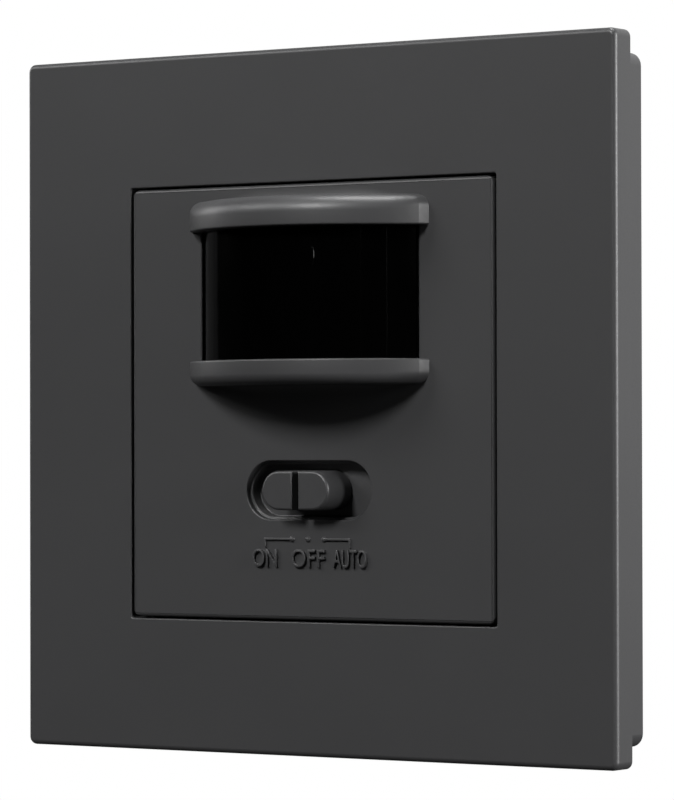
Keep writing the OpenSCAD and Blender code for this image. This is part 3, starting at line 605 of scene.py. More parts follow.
# %% Visors
WINDOW_Z = 12.05
VISOR_LOW = 19.45
TWIN_MM = 0.0005
FOLD_MM = 0.01


def visor(name, high, shoulder, mirror):
    right = [visor_section(*place, VISOR_LOW, high, shoulder) for place in visor_plan()]
    left = [[(-x, y, z) for x, y, z in section] for section in right[:0:-1]]
    builder = bmesh.new()
    rings = []
    for section in left + right:
        places = [Vector((x, y, 2 * WINDOW_Z - z if mirror else z)) * MM for x, y, z in section]
        rings.append([builder.verts.new(place) for place in places])
    join_rings(builder, rings)
    builder.faces.new(rings[0])
    builder.faces.new(rings[-1])
    bmesh.ops.remove_doubles(builder, verts=builder.verts, dist=TWIN_MM * MM)
    mesh = finish_mesh(name, builder)
    smooth(mesh)
    for edge in mesh.edges:
        ends = [mesh.vertices[i].co / MM for i in edge.vertices]
        if all(abs(abs(v.x) - FACET_X) < FOLD_MM and abs(v.y - FOLD_Y) < FOLD_MM for v in ends):
            edge.use_edge_sharp = True
    obj = new_object(name, mesh)
    dye(obj, "cover_plate")
    attach(obj, "cover_plate")


visor("visor_upper", high=22.88, shoulder=1.9, mirror=False)
visor("visor_lower", high=22.25, shoulder=1.2, mirror=True)

# %% [markdown]
# ## Frame in rings
#
# The frame is a square moulding: one section, carried round four sides. A bevel on the CAD mesh would
# leave the wide front as one face with a hole, which shades badly. Here the section is a list of
# half-widths and depths, each becomes a square ring with rounded corners, and neighbouring rings are
# joined by four-sided faces. The edge radii are arcs in that list, so the light runs along them evenly.

# %% Square rings
CORNER_STEPS = 6
ARC_STEPS = 5
LEAST_CORNER_R = 0.3


def square_ring(builder, half, y, corner):
    """Verts of a square with round corners, in the plane at y."""
    ring = []
    centre = Vector((half - corner, 0, half - corner))
    for quarter in range(4):
        turn = Matrix.Rotation(-quarter * math.pi / 2, 3, "Y")
        for step in range(CORNER_STEPS + 1):
            angle = math.pi / 2 * step / CORNER_STEPS
            arm = centre + corner * Vector((math.cos(angle), 0, math.sin(angle)))
            ring.append(builder.verts.new(turn @ arm + Vector((0, y, 0))))
    return ring


def round_step(half, y, radius, inward):
    """Arc from the side wall at y to the front plane, in steps of (half-width, depth)."""
    turns = [math.pi / 2 * i / ARC_STEPS for i in range(ARC_STEPS + 1)]
    return [(half + inward * radius * (1 - math.cos(t)), y - radius * math.sin(t)) for t in turns]


def moulding(name, section, corner):
    builder = bmesh.new()
    outermost = max(half for half, y in section)
    rings = []
    for half, y in section:
        corner_r = max(corner - (outermost - half), LEAST_CORNER_R)
        rings.append(square_ring(builder, half * MM, y * MM, corner_r * MM))
    join_rings(builder, rings + rings[:1])
    mesh = finish_mesh(name, builder)
    smooth(mesh)
    return flatten(new_object(name, mesh))


print("verts in a square ring:", 4 * (CORNER_STEPS + 1))

# %% [markdown]
# The front frame's section runs from the back of its rim over the round outer edge and the flat front
# into the opening, round the ledge that lies behind the cover plate, and back inside the hollow shell.
# The wall frame is a plain wall with a small radius at its front, set in by two millimetres.

# %% Front frame and wall frame
FRAME_HALF = frame_high[0]
FRAME_EDGE_R, FRAME_CORNER_R = 0.6, 0.9
OPENING_HALF, OPENING_EDGE_R = 24.85, 0.15
RIM_BACK_Y = -6.0
LEDGE_HALF, LEDGE_FRONT_Y, LEDGE_BACK_Y = 23.25, -7.0, -5.6
WEB_HALF = 26.45
SHELL_HALF, SHELL_Y = 38.2, -7.2
WALL_HALF = box_mm("wall_frame")[1][0]
WALL_EDGE_R, WALL_CORNER_R, WALL_T = 0.2, 1.5, 2.0

front_section = [(FRAME_HALF, RIM_BACK_Y)]
front_section += round_step(FRAME_HALF, FRONT_Y + FRAME_EDGE_R, FRAME_EDGE_R, -1)
front_section += round_step(OPENING_HALF, FRONT_Y + OPENING_EDGE_R, OPENING_EDGE_R, 1)[::-1]
front_section += [(OPENING_HALF, LEDGE_FRONT_Y), (LEDGE_HALF, LEDGE_FRONT_Y), (LEDGE_HALF, LEDGE_BACK_Y),
                  (WEB_HALF, LEDGE_BACK_Y), (WEB_HALF, SHELL_Y), (SHELL_HALF, SHELL_Y),
                  (SHELL_HALF, RIM_BACK_Y)]
settle(moulding("front_frame_finished", front_section, FRAME_CORNER_R), "front_frame")

wall_section = [(WALL_HALF, -WALL_EDGE_R)]
wall_section += round_step(WALL_HALF, SHELL_Y + WALL_EDGE_R, WALL_EDGE_R, -1)
wall_section += [(WALL_HALF - WALL_T, SHELL_Y), (WALL_HALF - WALL_T, 0.0), (WALL_HALF - WALL_EDGE_R, 0.0)]
settle(moulding("wall_frame_finished", wall_section, WALL_CORNER_R), "wall_frame")

# %% [markdown]
# ## Parts of the insert
#
# Cup, tray, boards, relay and terminals are moulded, stamped or dipped, and each of these leaves its
# own radius: hardly any on a stamped board, a generous one on a dipped capacitor. Their solids have the
# right forms, so a table of radii in millimetres dresses them all. Two of them have wide flat faces
# with round holes and get seams through these holes.

# %% Parts of the insert
insert_bevels = {
    "lens_retainer": 0.12, "switch_lever": 0.1, "switch_shell": 0.12, "switch_base": 0.1,
    "sensor_board": 0.08, "pir_sensor": 0.15, "sensor_filter": 0.05, "light_cell": 0.15,
    "time_trimmer": 0.15, "time_dial": 0.12, "lux_trimmer": 0.15, "lux_dial": 0.12, "control_chip": 0.06,
    "support_ring": 0.12, "housing_tray": 0.12, "housing_cup": 0.15, "power_board": 0.08, "relay": 0.25,
    "dropper_capacitor": 0.3, "smoothing_capacitor": 0.3, "varistor": 0.4, "fuse": 0.15, "rectifier": 0.2,
    "board_link": 0.08, "terminal_block": 0.18, "terminal_clamps": 0.1,
}
RING_SCREW_X = 17
WIRE_PITCH = 10
SIDEWAYS = (1, 0, 0)
UPWARDS = (0, 0, 1)
seams = {
    "support_ring": [(SIDEWAYS, -RING_SCREW_X), (SIDEWAYS, 0), (SIDEWAYS, RING_SCREW_X), (UPWARDS, 0)],
    "terminal_block": [(SIDEWAYS, -WIRE_PITCH), (SIDEWAYS, 0), (SIDEWAYS, WIRE_PITCH)],
}
for node, bevel_mm in insert_bevels.items():
    settle(dress(node, bevel_mm, planes=seams.get(node, ())), node)

# %% [markdown]
# ## The bowed lens
#
# The lens is a strip of constant section: round outside, where it is seen, and made of flat segments
# inside, where each one throws the warmth of a part of the room on the sensor. At each side a lip
# turns outwards behind the cover plate. A strip like this is drawn as one closed outline in plan and
# pulled up along Z. The outside takes many short steps so that reflections glide along it.

# %% Outline of the lens
lens_low, lens_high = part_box("pir_lens")
LENS_BOW_Y = BOW_Y * MM
LENS_R = 18.573 * MM
LENS_T = 1.0 * MM
LENS_STEPS = 96
LENS_SEGMENTS = 16
LENS_SPREAD = math.radians(72)
LIP_FRONT = -7.0 * MM
LIP_BACK = -6.0 * MM
LIP_X = lens_high.x
LIP_IN = LIP_X - 3.4 * MM


def on_bow(radius, angle):
    return radius * math.sin(angle), LENS_BOW_Y - radius * math.cos(angle)


def lens_outline():
    edge = math.acos((LENS_BOW_Y - LIP_FRONT) / LENS_R)
    outside = [on_bow(LENS_R, edge * (2 * i / LENS_STEPS - 1)) for i in range(LENS_STEPS + 1)]
    flats_r = (LENS_R - LENS_T) / math.cos(LENS_SPREAD / LENS_SEGMENTS)
    flats = [on_bow(flats_r, LENS_SPREAD * (2 * i / LENS_SEGMENTS - 1)) for i in range(LENS_SEGMENTS + 1)]
    inside = [(x, y) for x, y in flats if y < LIP_FRONT]
    right = [(LIP_X, LIP_FRONT), (LIP_X, LIP_BACK), (LIP_IN, LIP_BACK), (LIP_IN, LIP_FRONT)]
    left = [(-x, y) for x, y in reversed(right)]
    return outside + right + inside[::-1] + left


print("points round the lens:", len(lens_outline()))


# %% Lens
ALONG_Y, ALONG_Z = 1, 2
LENS_CRISP = 30


def prism(name, outline, axis, level):
    """Pulls a closed outline of points along an axis, up to a level, into a solid."""
    builder = bmesh.new()
    foot = builder.faces.new([builder.verts.new(point) for point in outline])
    raised = bmesh.ops.extrude_face_region(builder, geom=[foot])["geom"]
    for part in raised:
        if isinstance(part, bmesh.types.BMVert):
            part.co[axis] = level
    return new_object(name, finish_mesh(name, builder))


lens_foot = [(x, y, lens_low.z) for x, y in lens_outline()]
lens = prism("pir_lens_finished", lens_foot, ALONG_Z, lens_high.z)
smooth(lens.data, LENS_CRISP)
settle(lens, "pir_lens")

# %% [markdown]
# ## What repeats: ribs, lens lines, dots and screws
#
# Ribs behind the frame, the lines of the lens segments, the dots under the slide's three places and
# the screws all repeat one shape by a rule. They could be copied in a loop, but a node tree keeps
# the rule visible and its sizes editable. Each tree below ends in real geometry with a material, and
# the result is kept as a plain mesh.

# %% Helpers that build and run a node tree
def new_tree(name, **inputs):
    """A geometry tree with named inputs; gives the tree and the outputs of its input node."""
    group = bpy.data.node_groups.new(name, "GeometryNodeTree")
    group.interface.new_socket(name="Geometry", in_out="OUTPUT", socket_type="NodeSocketGeometry")
    for label, kind in inputs.items():
        group.interface.new_socket(name=label, in_out="INPUT", socket_type="NodeSocket" + kind)
    return group, group.nodes.new("NodeGroupInput").outputs


def close_tree(group, geometry, material):
    real = add(group, "GeometryNodeRealizeInstances", {"Geometry": geometry}).outputs[0]
    dyed = add(group, "GeometryNodeSetMaterial", {"Geometry": real, "Material": material}).outputs[0]
    add(group, "NodeGroupOutput", {"Geometry": dyed})
    print("tree", group.name, "has", len(group.nodes), "nodes")


def grow(name, group, node, **values):
    """Runs a tree on an empty mesh, keeps its result and lets it ride with the solid's body."""
    obj = new_object(name, bpy.data.meshes.new(name))
    modifier = obj.modifiers.new(group.name, "NODES")
    modifier.node_group = group
    for item in group.interface.items_tree:
        if item.in_out == "INPUT":
            modifier[item.identifier] = values[item.name]
    keep_mesh(obj)
    attach(obj, node)
    return obj


# %% [markdown]
# The ribs stiffen the frame from behind, two on each side, and eight lugs in the wall frame centre it
# on the support ring. Eight boxes could be placed by hand. The tree draws the pair of one side and
# turns it by a quarter four times, so both sets come from the same rule.

# %% Tree for pairs round a square
ribs, pins = new_tree("pairs_round_a_square", Size="Vector", Place="Vector", Gap="Float",
                      Finish="Material")
block = add(ribs, "GeometryNodeMeshCube", {"Size": pins["Size"]}).outputs["Mesh"]
step = add(ribs, "ShaderNodeCombineXYZ", {"Z": pins["Gap"]}).outputs[0]
low_end = add(ribs, "ShaderNodeVectorMath", {0: step, "Scale": -0.5}, operation="SCALE").outputs[0]
start = add(ribs, "ShaderNodeVectorMath", {0: pins["Place"], 1: low_end}, operation="ADD").outputs[0]
pair = add(ribs, "GeometryNodeMeshLine", {"Count": 2, "Start Location": start, "Offset": step}).outputs[0]
side = add(ribs, "GeometryNodeInstanceOnPoints", {"Points": pair, "Instance": block}).outputs[0]
turns = add(ribs, "GeometryNodeMeshLine", {"Count": 4, "Offset": (0, 0, 0)}).outputs[0]
index = add(ribs, "GeometryNodeInputIndex").outputs[0]
quarter = add(ribs, "ShaderNodeMath", {0: index, 1: math.pi / 2}, operation="MULTIPLY").outputs[0]
spin = add(ribs, "ShaderNodeCombineXYZ", {"Y": quarter}).outputs[0]
whole = add(ribs, "GeometryNodeInstanceOnPoints", {"Points": turns, "Instance": side, "Rotation": spin})
close_tree(ribs, whole.outputs[0], pins["Finish"])

# %% Ribs and lugs
PAIR_GAP = 32 * MM
grow("front_frame_ribs", ribs, "front_frame", Size=Vector((9.4, 1.4, 1.0)) * MM,
     Place=Vector((30.9, -6.8, 0)) * MM, Gap=PAIR_GAP, Finish=anthracite)
grow("wall_frame_lugs", ribs, "wall_frame", Size=Vector((1.1, 3.0, 6.0)) * MM,
     Place=Vector((35.75, -1.5, 0)) * MM, Gap=PAIR_GAP, Finish=anthracite)

# %% [markdown]
# Behind the smooth front of the lens its segments show as faint upright lines, nine degrees apart. A
# bump in the material could draw them, but the mesh would not have them. Each line is a slim rod on a
# point of an arc, sunk into the surface so that only a hundredth of a millimetre stands out.

# %% Lines of the lens segments
lines, pins = new_tree("lines_along_a_bow", Radius="Float", Half_angle="Float", Count="Int",
                       Length="Float", Thickness="Float", Centre="Vector", Finish="Material")
first = add(lines, "ShaderNodeMath", {0: -math.pi / 2, 1: pins["Half_angle"]},
            operation="SUBTRACT").outputs[0]
both = add(lines, "ShaderNodeMath", {0: pins["Half_angle"], 1: 2.0}, operation="MULTIPLY").outputs[0]
bow = add(lines, "GeometryNodeCurveArc", {"Resolution": pins["Count"], "Radius": pins["Radius"],
                                          "Start Angle": first, "Sweep Angle": both}).outputs[0]
spots = add(lines, "GeometryNodeCurveToPoints", {"Curve": bow}, mode="EVALUATED").outputs[0]
rod = add(lines, "GeometryNodeMeshCylinder", {"Vertices": 8, "Radius": pins["Thickness"],
                                              "Depth": pins["Length"]}).outputs[0]
row = add(lines, "GeometryNodeInstanceOnPoints", {"Points": spots, "Instance": rod}).outputs[0]
placed = add(lines, "GeometryNodeTransform", {"Geometry": row, "Translation": pins["Centre"]}).outputs[0]
close_tree(lines, placed, pins["Finish"])

LINE_R = 0.3
LINE_STANDS = 0.01
LINE_HALF_ANGLE = math.radians(40.5)
lens_middle = Vector((0, LENS_BOW_Y, (lens_low.z + lens_high.z) / 2))
grow("pir_lens_segment_lines", lines, "pir_lens", Radius=LENS_R - (LINE_R - LINE_STANDS) * MM,
     Half_angle=LINE_HALF_ANGLE, Count=10, Length=15.0 * MM, Thickness=LINE_R * MM, Centre=lens_middle,
     Finish=lens_black)

# %% [markdown]
# One more mark is on the lens: a slim scar where the sheet was fed in its mould. It is a spindle, half
# sunk in the surface, and the only place where the round front turns a lamp towards the camera. A
# stretched sphere is enough for it, as it stands out by a tenth of a millimetre.

# %% Scar on the lens
SCAR_ANGLE = math.radians(15)
SCAR_Z = 16.0 * MM
scar, pins = new_tree("spindle", Size="Vector", Place="Vector", Finish="Material")
ball = add(scar, "GeometryNodeMeshUVSphere", {"Segments": 24, "Rings": 24, "Radius": 1.0}).outputs[0]
ball = add(scar, "GeometryNodeSetShadeSmooth", {"Geometry": ball}).outputs[0]
spindle = add(scar, "GeometryNodeTransform", {"Geometry": ball, "Translation": pins["Place"],
                                              "Scale": pins["Size"]}).outputs[0]
close_tree(scar, spindle, pins["Finish"])
scar_x, scar_y = on_bow(LENS_R, SCAR_ANGLE)
grow("pir_lens_scar", scar, "pir_lens", Size=Vector((0.16, 0.1, 1.0)) * MM,
     Place=Vector((scar_x, scar_y, SCAR_Z)), Finish=lens_black)

# %% [markdown]
# Three raised dots stand under the three places of the slide: left, middle and right. In the mould they
# are three dimples on a line, and the tree says the same: a line of points with a bead on each, sunk
# just past its middle.

# %% Dots
DOT_LEFT_X = -2.28
DOT_PITCH = 2.19
DOT_R = 0.36
DOT_SUNK = 0.06
MARK_Z = -15.5
dots, pins = new_tree("row_of_dots", Count="Int", Start="Vector", Pitch="Vector", Radius="Float",
                      Finish="Material")
row = add(dots, "GeometryNodeMeshLine", {"Count": pins["Count"], "Start Location": pins["Start"],
                                         "Offset": pins["Pitch"]}).outputs[0]
bead = add(dots, "GeometryNodeMeshUVSphere", {"Segments": 20, "Rings": 12,
                                              "Radius": pins["Radius"]}).outputs[0]
beads = add(dots, "GeometryNodeInstanceOnPoints", {"Points": row, "Instance": bead}).outputs[0]
close_tree(dots, beads, pins["Finish"])
first_dot = Vector((DOT_LEFT_X, FRONT_Y + DOT_SUNK, MARK_Z)) * MM
grow("slide_dots", dots, "cover_plate", Count=3, Start=first_dot, Pitch=Vector((DOT_PITCH, 0, 0)) * MM,
     Radius=DOT_R * MM, Finish=anthracite)

# %% [markdown]
# The screws are pan heads with a slot. One screw is turned on a lathe from a short outline with its
# thread as fine ridges, the slot is milled out of its head, and the tree sets a copy on each seat. The
# solids' screws have the right size, but no slot or thread, and these are what one looks for. Each copy
# is turned by its own angle, as screws never stop with their slots in line.

# %% Lathe for a screw
PAN_HEAD = ((0, 1), (0.55, 0.96), (0.85, 0.78), (1, 0.45), (1, 0))  # shares of its radius and height
ROOT = 0.82  # radius between two ridges of the thread, as a share of the shank's
RIDGE = ((0.2, ROOT), (0.5, 1), (0.8, ROOT))  # shares of the pitch and of the shank's radius
TIP = 0.45
RUN_OUT = 1.5  # pitches without thread before the tip
AROUND = 28


def turned_screw(head_r, head_t, shank_r, shank_len, pitch):
    outline = [(head_r * r, head_t * z) for r, z in PAN_HEAD]
    z = 0.0
    while z > -shank_len + RUN_OUT * pitch:
        outline += [(shank_r * r, z - down * pitch) for down, r in RIDGE]
        z -= pitch
    outline += [(shank_r * ROOT, z), (shank_r * TIP, -shank_len), (0, -shank_len)]
    turns = [2 * math.pi * i / AROUND for i in range(AROUND)]
    builder = bmesh.new()
    rings = []
    for r, z in outline:
        if r:
            rings.append([builder.verts.new((r * math.cos(t), r * math.sin(t), z)) for t in turns])
        else:
            rings.append([builder.verts.new((0, 0, z))] * AROUND)
    join_rings(builder, rings)
    return new_object("turned_screw", finish_mesh("turned_screw", builder))


print("faces round a screw:", AROUND)

# %% [markdown]
# The tree takes the turned screw and a mesh of points, its seats. It mills the slot once, stands a copy
# on each point, leans it to the side that the head faces, and turns it by a random angle with a fixed
# seed, so that the picture is the same each time.

# %% Tree for screws on their seats
screws, pins = new_tree("screws_on_seats", Screw="Object", Seats="Object", Slot="Vector",
                        Slot_place="Vector", Lean="Vector", Seed="Int", Finish="Material")
body = add(screws, "GeometryNodeObjectInfo", {"Object": pins["Screw"]}).outputs["Geometry"]
seats_in = add(screws, "GeometryNodeObjectInfo", {"Object": pins["Seats"]}).outputs["Geometry"]
cutter = add(screws, "GeometryNodeMeshCube", {"Size": pins["Slot"]}).outputs["Mesh"]
cutter = add(screws, "GeometryNodeTransform", {"Geometry": cutter,
                                               "Translation": pins["Slot_place"]}).outputs[0]
milled = add(screws, "GeometryNodeMeshBoolean", {"Mesh 1": body, "Mesh 2": cutter},
             operation="DIFFERENCE", solver="EXACT").outputs["Mesh"]
number = add(screws, "GeometryNodeInputIndex").outputs[0]
angle = add(screws, "FunctionNodeRandomValue", {2: 0.0, 3: math.pi, "ID": number, "Seed": pins["Seed"]},
            data_type="FLOAT").outputs[1]
own_turn = add(screws, "ShaderNodeCombineXYZ", {"Z": angle}).outputs[0]
standing = add(screws, "GeometryNodeInstanceOnPoints", {"Points": seats_in, "Instance": milled,
                                                        "Rotation": pins["Lean"]}).outputs[0]
turned = add(screws, "GeometryNodeRotateInstances", {"Instances": standing,
                                                     "Rotation": own_turn}).outputs[0]
close_tree(screws, turned, pins["Finish"])

# %% Screws on their seats
TO_FRONT = (math.pi / 2, 0, 0)
TO_BACK = (-math.pi / 2, 0, 0)
TO_FLOOR = (math.pi, 0, 0)
THREAD_PITCH = 0.5


def set_screws(node, seats_mm, lean, head, shank, slot_w, seed):
    """Head and shank are (radius, length) in mm; the seats are the places under the heads."""
    (head_r, head_t), (shank_r, shank_len) = head, shank
    screw = turned_screw(head_r * MM, head_t * MM, shank_r * MM, shank_len * MM, THREAD_PITCH * MM)
    marks = bpy.data.meshes.new("seats")
    marks.from_pydata([Vector(seat) * MM for seat in seats_mm], [], [])
    seats = new_object("seats", marks)
    obj = grow(node + "_turned", screws, node, Screw=screw, Seats=seats,
               Slot=Vector((3 * head_r, slot_w, head_t)) * MM, Slot_place=Vector((0, 0, head_t)) * MM,
               Lean=Vector(lean), Seed=seed, Finish=finishes["zinc_steel"])
    smooth(obj.data)
    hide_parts(node)
    bpy.data.objects.remove(screw)
    bpy.data.objects.remove(seats)


ring_seats = [(x, -2.4, z) for x in (-RING_SCREW_X, RING_SCREW_X) for z in (-26, 26)]
set_screws("ring_screws", ring_seats, TO_FRONT,
           head=(2.0, 1.0), shank=(1.0, 2.1), slot_w=0.5, seed=3)
set_screws("board_screws", [(x, 1.0, 8.0) for x in (-16, 16)], TO_FRONT,
           head=(1.7, 0.9), shank=(0.9, 2.9), slot_w=0.5, seed=5)
set_screws("housing_screws", [(x, 24.8, -6.0) for x in (-18.5, 18.5)], TO_BACK,
           head=(2.0, 1.0), shank=(1.2, 21.6), slot_w=0.5, seed=8)
set_screws("terminal_screws", [(x, 19.3, -20.6) for x in (-WIRE_PITCH, 0, WIRE_PITCH)], TO_FLOOR,
           head=(2.2, 1.6), shank=(1.4, 2.7), slot_w=0.6, seed=11)

# %% [markdown]
# ## Raised lettering
#
# The words under the slide are cut into the mould and so stand about four tenths of a millimetre proud
# of the plate, in the plate's own colour. They could be a bump in the material, but then a side view
# would lose them. Text is set with the built-in typeface, made a mesh, stretched to its measured box
# and moved onto the plate, where its back is sunk.

# %% Tool for raised words
TEXT_EXTRUDE = 0.04
TEXT_ROUND = 0.02
TEXT_HALF = TEXT_EXTRUDE + TEXT_ROUND
TEXT_THINNER = -0.012
SUNK = 0.5  # how deep a word goes into its plate, as a share of how far it stands out


def text_mesh(name, text):
    """A word as a mesh in the units of the typeface."""
    data = bpy.data.curves.new(name, "FONT")
    data.body = text
    data.resolution_u = 6
    data.extrude = TEXT_EXTRUDE
    data.bevel_depth = TEXT_ROUND
    data.bevel_resolution = 2
    data.offset = TEXT_THINNER
    writer = new_object(name + "_curve", data)
    graph = bpy.context.evaluated_depsgraph_get()
    mesh = bpy.data.meshes.new_from_object(writer.evaluated_get(graph))
    bpy.data.objects.remove(writer)
    return mesh


def raised_word(name, text, low, high, y, raise_mm, node, facing=1):
    """Fills the box from low to high (x, z in mm) with a word that stands out from depth y."""
    mesh = text_mesh(name, text)
    xs = [v.co.x for v in mesh.vertices]
    ys = [v.co.y for v in mesh.vertices]
    wide = (high[0] - low[0]) / (max(xs) - min(xs))
    tall = (high[1] - low[1]) / (max(ys) - min(ys))
    for vert in mesh.vertices:
        x = (vert.co.x - (min(xs) + max(xs)) / 2) * wide * facing + (low[0] + high[0]) / 2
        z = (vert.co.y - min(ys)) * tall + low[1]
        rise = vert.co.z / TEXT_HALF * (1 + SUNK) / 2 + (1 - SUNK) / 2
        vert.co = Vector((x, y - facing * raise_mm * rise, z)) * MM
    builder = bmesh.new()
    builder.from_mesh(mesh)
    bmesh.ops.remove_doubles(builder, verts=builder.verts, dist=MERGE_MM * MM)
    mesh = finish_mesh(name, builder)
    smooth(mesh, CRISP_BESIDE_BEVEL)
    obj = flatten(new_object(name, mesh))
    dye(obj, node)
    attach(obj, node)


# %% Words under the slide
WORD_LOW, WORD_HIGH = -18.69, -16.64
WORD_RAISE = 0.38
for name, text, left, right in (("word_on", "ON", -7.54, -4.21), ("word_off", "OFF", -2.22, 2.29),
                                ("word_auto", "AUTO", 3.45, 7.95)):
    raised_word(name, text, (left, WORD_LOW), (right, WORD_HIGH), FRONT_Y, WORD_RAISE, "cover_plate")

# %% [markdown]
# Two thin brackets lead from the outer dots to their words. Each is a flat-topped ridge with a tick at
# its end. A curve with a round section would be quicker, but its top would not catch the light as one
# line. So the outline is pulled out of the plate and its edges are softened.

# %% Brackets
BAR_HALF = 0.12
TICK_Z = -16.4
BRACKET_RAISE = 0.26
BRACKET_SUNK = 0.1
BRACKET_EDGE_R = 0.05


def bracket(name, inner, outer):
    """A ridge from a dot to the outside, with a short tick down to its word."""
    near, far = outer - math.copysign(BAR_HALF, outer), outer + math.copysign(BAR_HALF, outer)
    outline = [(inner, MARK_Z + BAR_HALF), (far, MARK_Z + BAR_HALF), (far, TICK_Z), (near, TICK_Z),
               (near, MARK_Z - BAR_HALF), (inner, MARK_Z - BAR_HALF)]
    foot = [Vector((x, FRONT_Y + BRACKET_SUNK, z)) * MM for x, z in outline]
    ridge = prism(name, foot, ALONG_Y, (FRONT_Y - BRACKET_RAISE) * MM)
    obj = soften(ridge, BRACKET_EDGE_R, segments=2)
    dye(obj, "cover_plate")
    attach(obj, "cover_plate")


bracket("bracket_left", DOT_LEFT_X, -5.87)
bracket("bracket_right", DOT_LEFT_X + 2 * DOT_PITCH, 5.62)

# %% [markdown]
# The wire entries at the back are counted by raised figures on the cup, read from behind. They are made
# like the words, only lower, and facing the other way.

# %% Figures over the wire entries
BACK_Y = box_mm("housing_cup")[1][1]
FIGURE_LOW, FIGURE_HIGH = -12.3, -10.5
FIGURE_RAISE = 0.2
for number, half in ((1, 0.35), (2, 0.6), (3, 0.6)):
    x = WIRE_PITCH * (2 - number)
    raised_word("wire_figure_" + str(number), str(number), (x - half, FIGURE_LOW),
                (x + half, FIGURE_HIGH), BACK_Y, FIGURE_RAISE, "housing_cup", facing=-1)

# %% [markdown]
# ## Stage and light
#
# The photograph is a cut-out on white: bright behind the object and dark in front of it, which is why
# the lens looks black. The world plays both parts. The camera sees it white all round, glossy edges and
# glass mirror a white sweep behind the object, matt faces get half of that, and the front is black. A
# bent backdrop could do the same, but a world has no edges and throws no shadow.

# %% World: white sweep behind, dark room in front
SWEEP_STARTS, SWEEP_FULL = 0.42, 0.75  # how far back a direction points, from 0 to 1
SWEEP_ON_MATT = 0.5
world = bpy.data.worlds.new("white_sweep")
bpy.context.scene.world = world
world.use_nodes = True
sky = world.node_tree
sky.nodes.clear()
rays = add(sky, "ShaderNodeLightPath").outputs
direction = add(sky, "ShaderNodeTexCoord").outputs["Generated"]
toward = add(sky, "ShaderNodeSeparateXYZ", {0: direction}).outputs
sweep = add(sky, "ShaderNodeMapRange", {"Value": toward["Y"], "From Min": SWEEP_STARTS,
                                        "From Max": SWEEP_FULL, "To Min": 0.0, "To Max": 1.0},
            interpolation_type="SMOOTHSTEP")
mirrored = add(sky, "ShaderNodeMath", {0: rays["Is Glossy Ray"], 1: rays["Is Transmission Ray"]},
               operation="MAXIMUM")
level = add(sky, "ShaderNodeMapRange", {"Value": mirrored.outputs[0], "To Min": SWEEP_ON_MATT,
                                        "To Max": 1.0})
behind = add(sky, "ShaderNodeMath", {0: sweep.outputs["Result"], 1: level.outputs["Result"]},
             operation="MULTIPLY")
seen = add(sky, "ShaderNodeMath", {0: behind.outputs[0], 1: rays["Is Camera Ray"]}, operation="MAXIMUM")
white = add(sky, "ShaderNodeBackground", {"Color": linear("#ffffff"), "Strength": seen.outputs[0]})
add(sky, "ShaderNodeOutputWorld", {"Surface": white.outputs["Background"]})
print("world", world.name, "has", len(sky.nodes), "nodes")

# %% [markdown]
# The floor is a sheet of white paper below the object. Near it the paper is matt and takes the soft
# shadow. Farther out it glows white for the camera alone, so that it runs into the background without
# an edge. To all other rays it is dark grey, because in the photograph no light comes from below.

# %% Paper of the floor
FIBRE_MM = 0.8
SHADOW_REACH, WHITE_REACH = 0.2, 0.5
paper = bpy.data.materials.new("white_paper_floor")
paper.use_nodes = True
tree = paper.node_tree
tree.nodes.clear()
spot = add(tree, "ShaderNodeTexCoord").outputs["Object"]
reach = add(tree, "ShaderNodeVectorMath", {0: spot}, operation="LENGTH").outputs["Value"]
far = add(tree, "ShaderNodeMapRange", {"Value": reach, "From Min": SHADOW_REACH, "From Max": WHITE_REACH,
                                       "To Min": 0.0, "To Max": 1.0}, interpolation_type="SMOOTHSTEP")
fibres = add(tree, "ShaderNodeTexNoise", {"Vector": spot, "Scale": 1 / (FIBRE_MM * MM), "Detail": 3.0})
tone = add(tree, "ShaderNodeMix", {0: fibres.outputs["Fac"], 6: linear("#f1f1f0"), 7: linear("#f6f6f5")},
           data_type="RGBA")
matt = add(tree, "ShaderNodeBsdfDiffuse", {"Color": tone.outputs[2]})
glow = add(tree, "ShaderNodeEmission", {"Color": linear("#ffffff"), "Strength": 1.0})
floor_rays = add(tree, "ShaderNodeLightPath").outputs
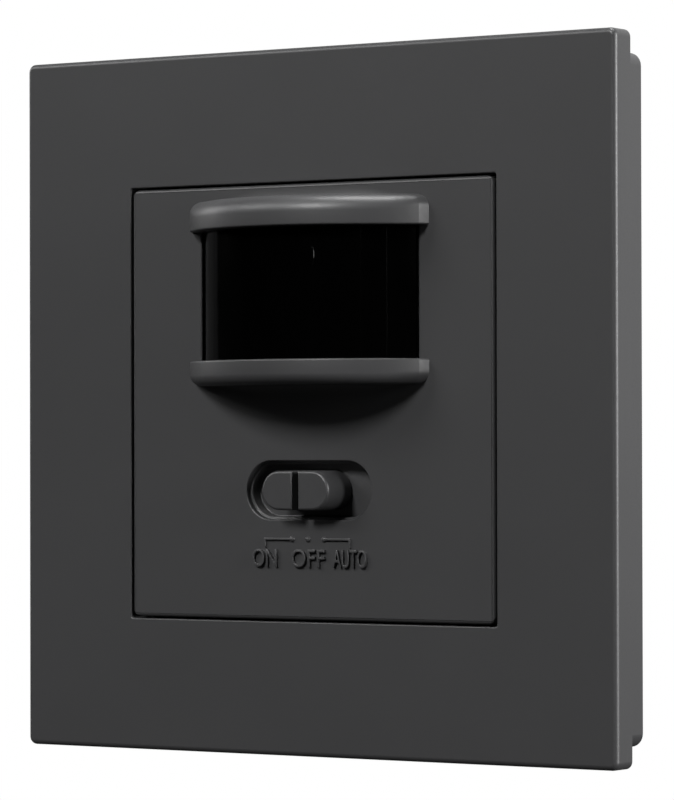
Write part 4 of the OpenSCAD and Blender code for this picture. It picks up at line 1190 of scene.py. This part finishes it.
shown = add(tree, "ShaderNodeMath", {0: floor_rays["Is Camera Ray"], 1: far.outputs["Result"]},
            operation="MULTIPLY")
blend = add(tree, "ShaderNodeMixShader", {0: shown.outputs[0], 1: matt.outputs[0], 2: glow.outputs[0]})
dim = add(tree, "ShaderNodeBsdfDiffuse", {"Color": linear("#2b2b2b")})
paper_seen = add(tree, "ShaderNodeMixShader", {0: floor_rays["Is Camera Ray"], 1: dim.outputs[0],
                                               2: blend.outputs[0]})
add(tree, "ShaderNodeOutputMaterial", {"Surface": paper_seen.outputs[0]})
print("made", paper.name)

# %% Floor
FLOOR_Z = -0.10
FLOOR_SIZE = 4.0
bpy.ops.mesh.primitive_plane_add(size=FLOOR_SIZE, location=(0, 0, FLOOR_Z))
floor = bpy.context.object
floor.name = "studio_floor"
floor.data.materials.append(paper)
print("floor at", FLOOR_Z)

# %% [markdown]
# Five soft boxes light the switch, all turned to its middle. The key light stands high in front, a small
# one on the left fills in, and one overhead lights all that faces up. Two at the sides graze the side
# walls: a strong one on the right, where the camera sees the wall, and a weak one on the left, which only
# draws a line along the edge. Point lamps would be simpler, but their small hard highlights don't look
# like a studio.

# %% Lamps
def lamp(name, azimuth, elevation, distance, size, watts):
    """A soft box that looks at the middle of the front; azimuth 0 is straight in front, + is right."""
    data = bpy.data.lights.new(name, "AREA")
    data.shape = "RECTANGLE"
    data.size, data.size_y = size
    data.energy = watts
    obj = new_object(name, data)
    a, e = math.radians(azimuth), math.radians(elevation)
    obj.location = Vector((math.sin(a) * math.cos(e), -math.cos(a) * math.cos(e), math.sin(e))) * distance
    obj.rotation_euler = obj.location.to_track_quat("Z", "Y").to_euler()
    print(name, watts, "W at", [round(v, 2) for v in obj.location])


lamp("key_light", -5, 36, 2.0, (0.37, 0.47), 28.5)
lamp("left_light", -50, 33, 1.2, (0.4, 0.4), 4.2)
lamp("top_light", 180, 88, 1.8, (0.9, 0.54), 27.0)
lamp("side_light", 92.5, 11, 1.8, (0.8, 0.6), 44.5)
lamp("left_edge_light", -93, 18, 1.8, (0.8, 0.6), 7.0)
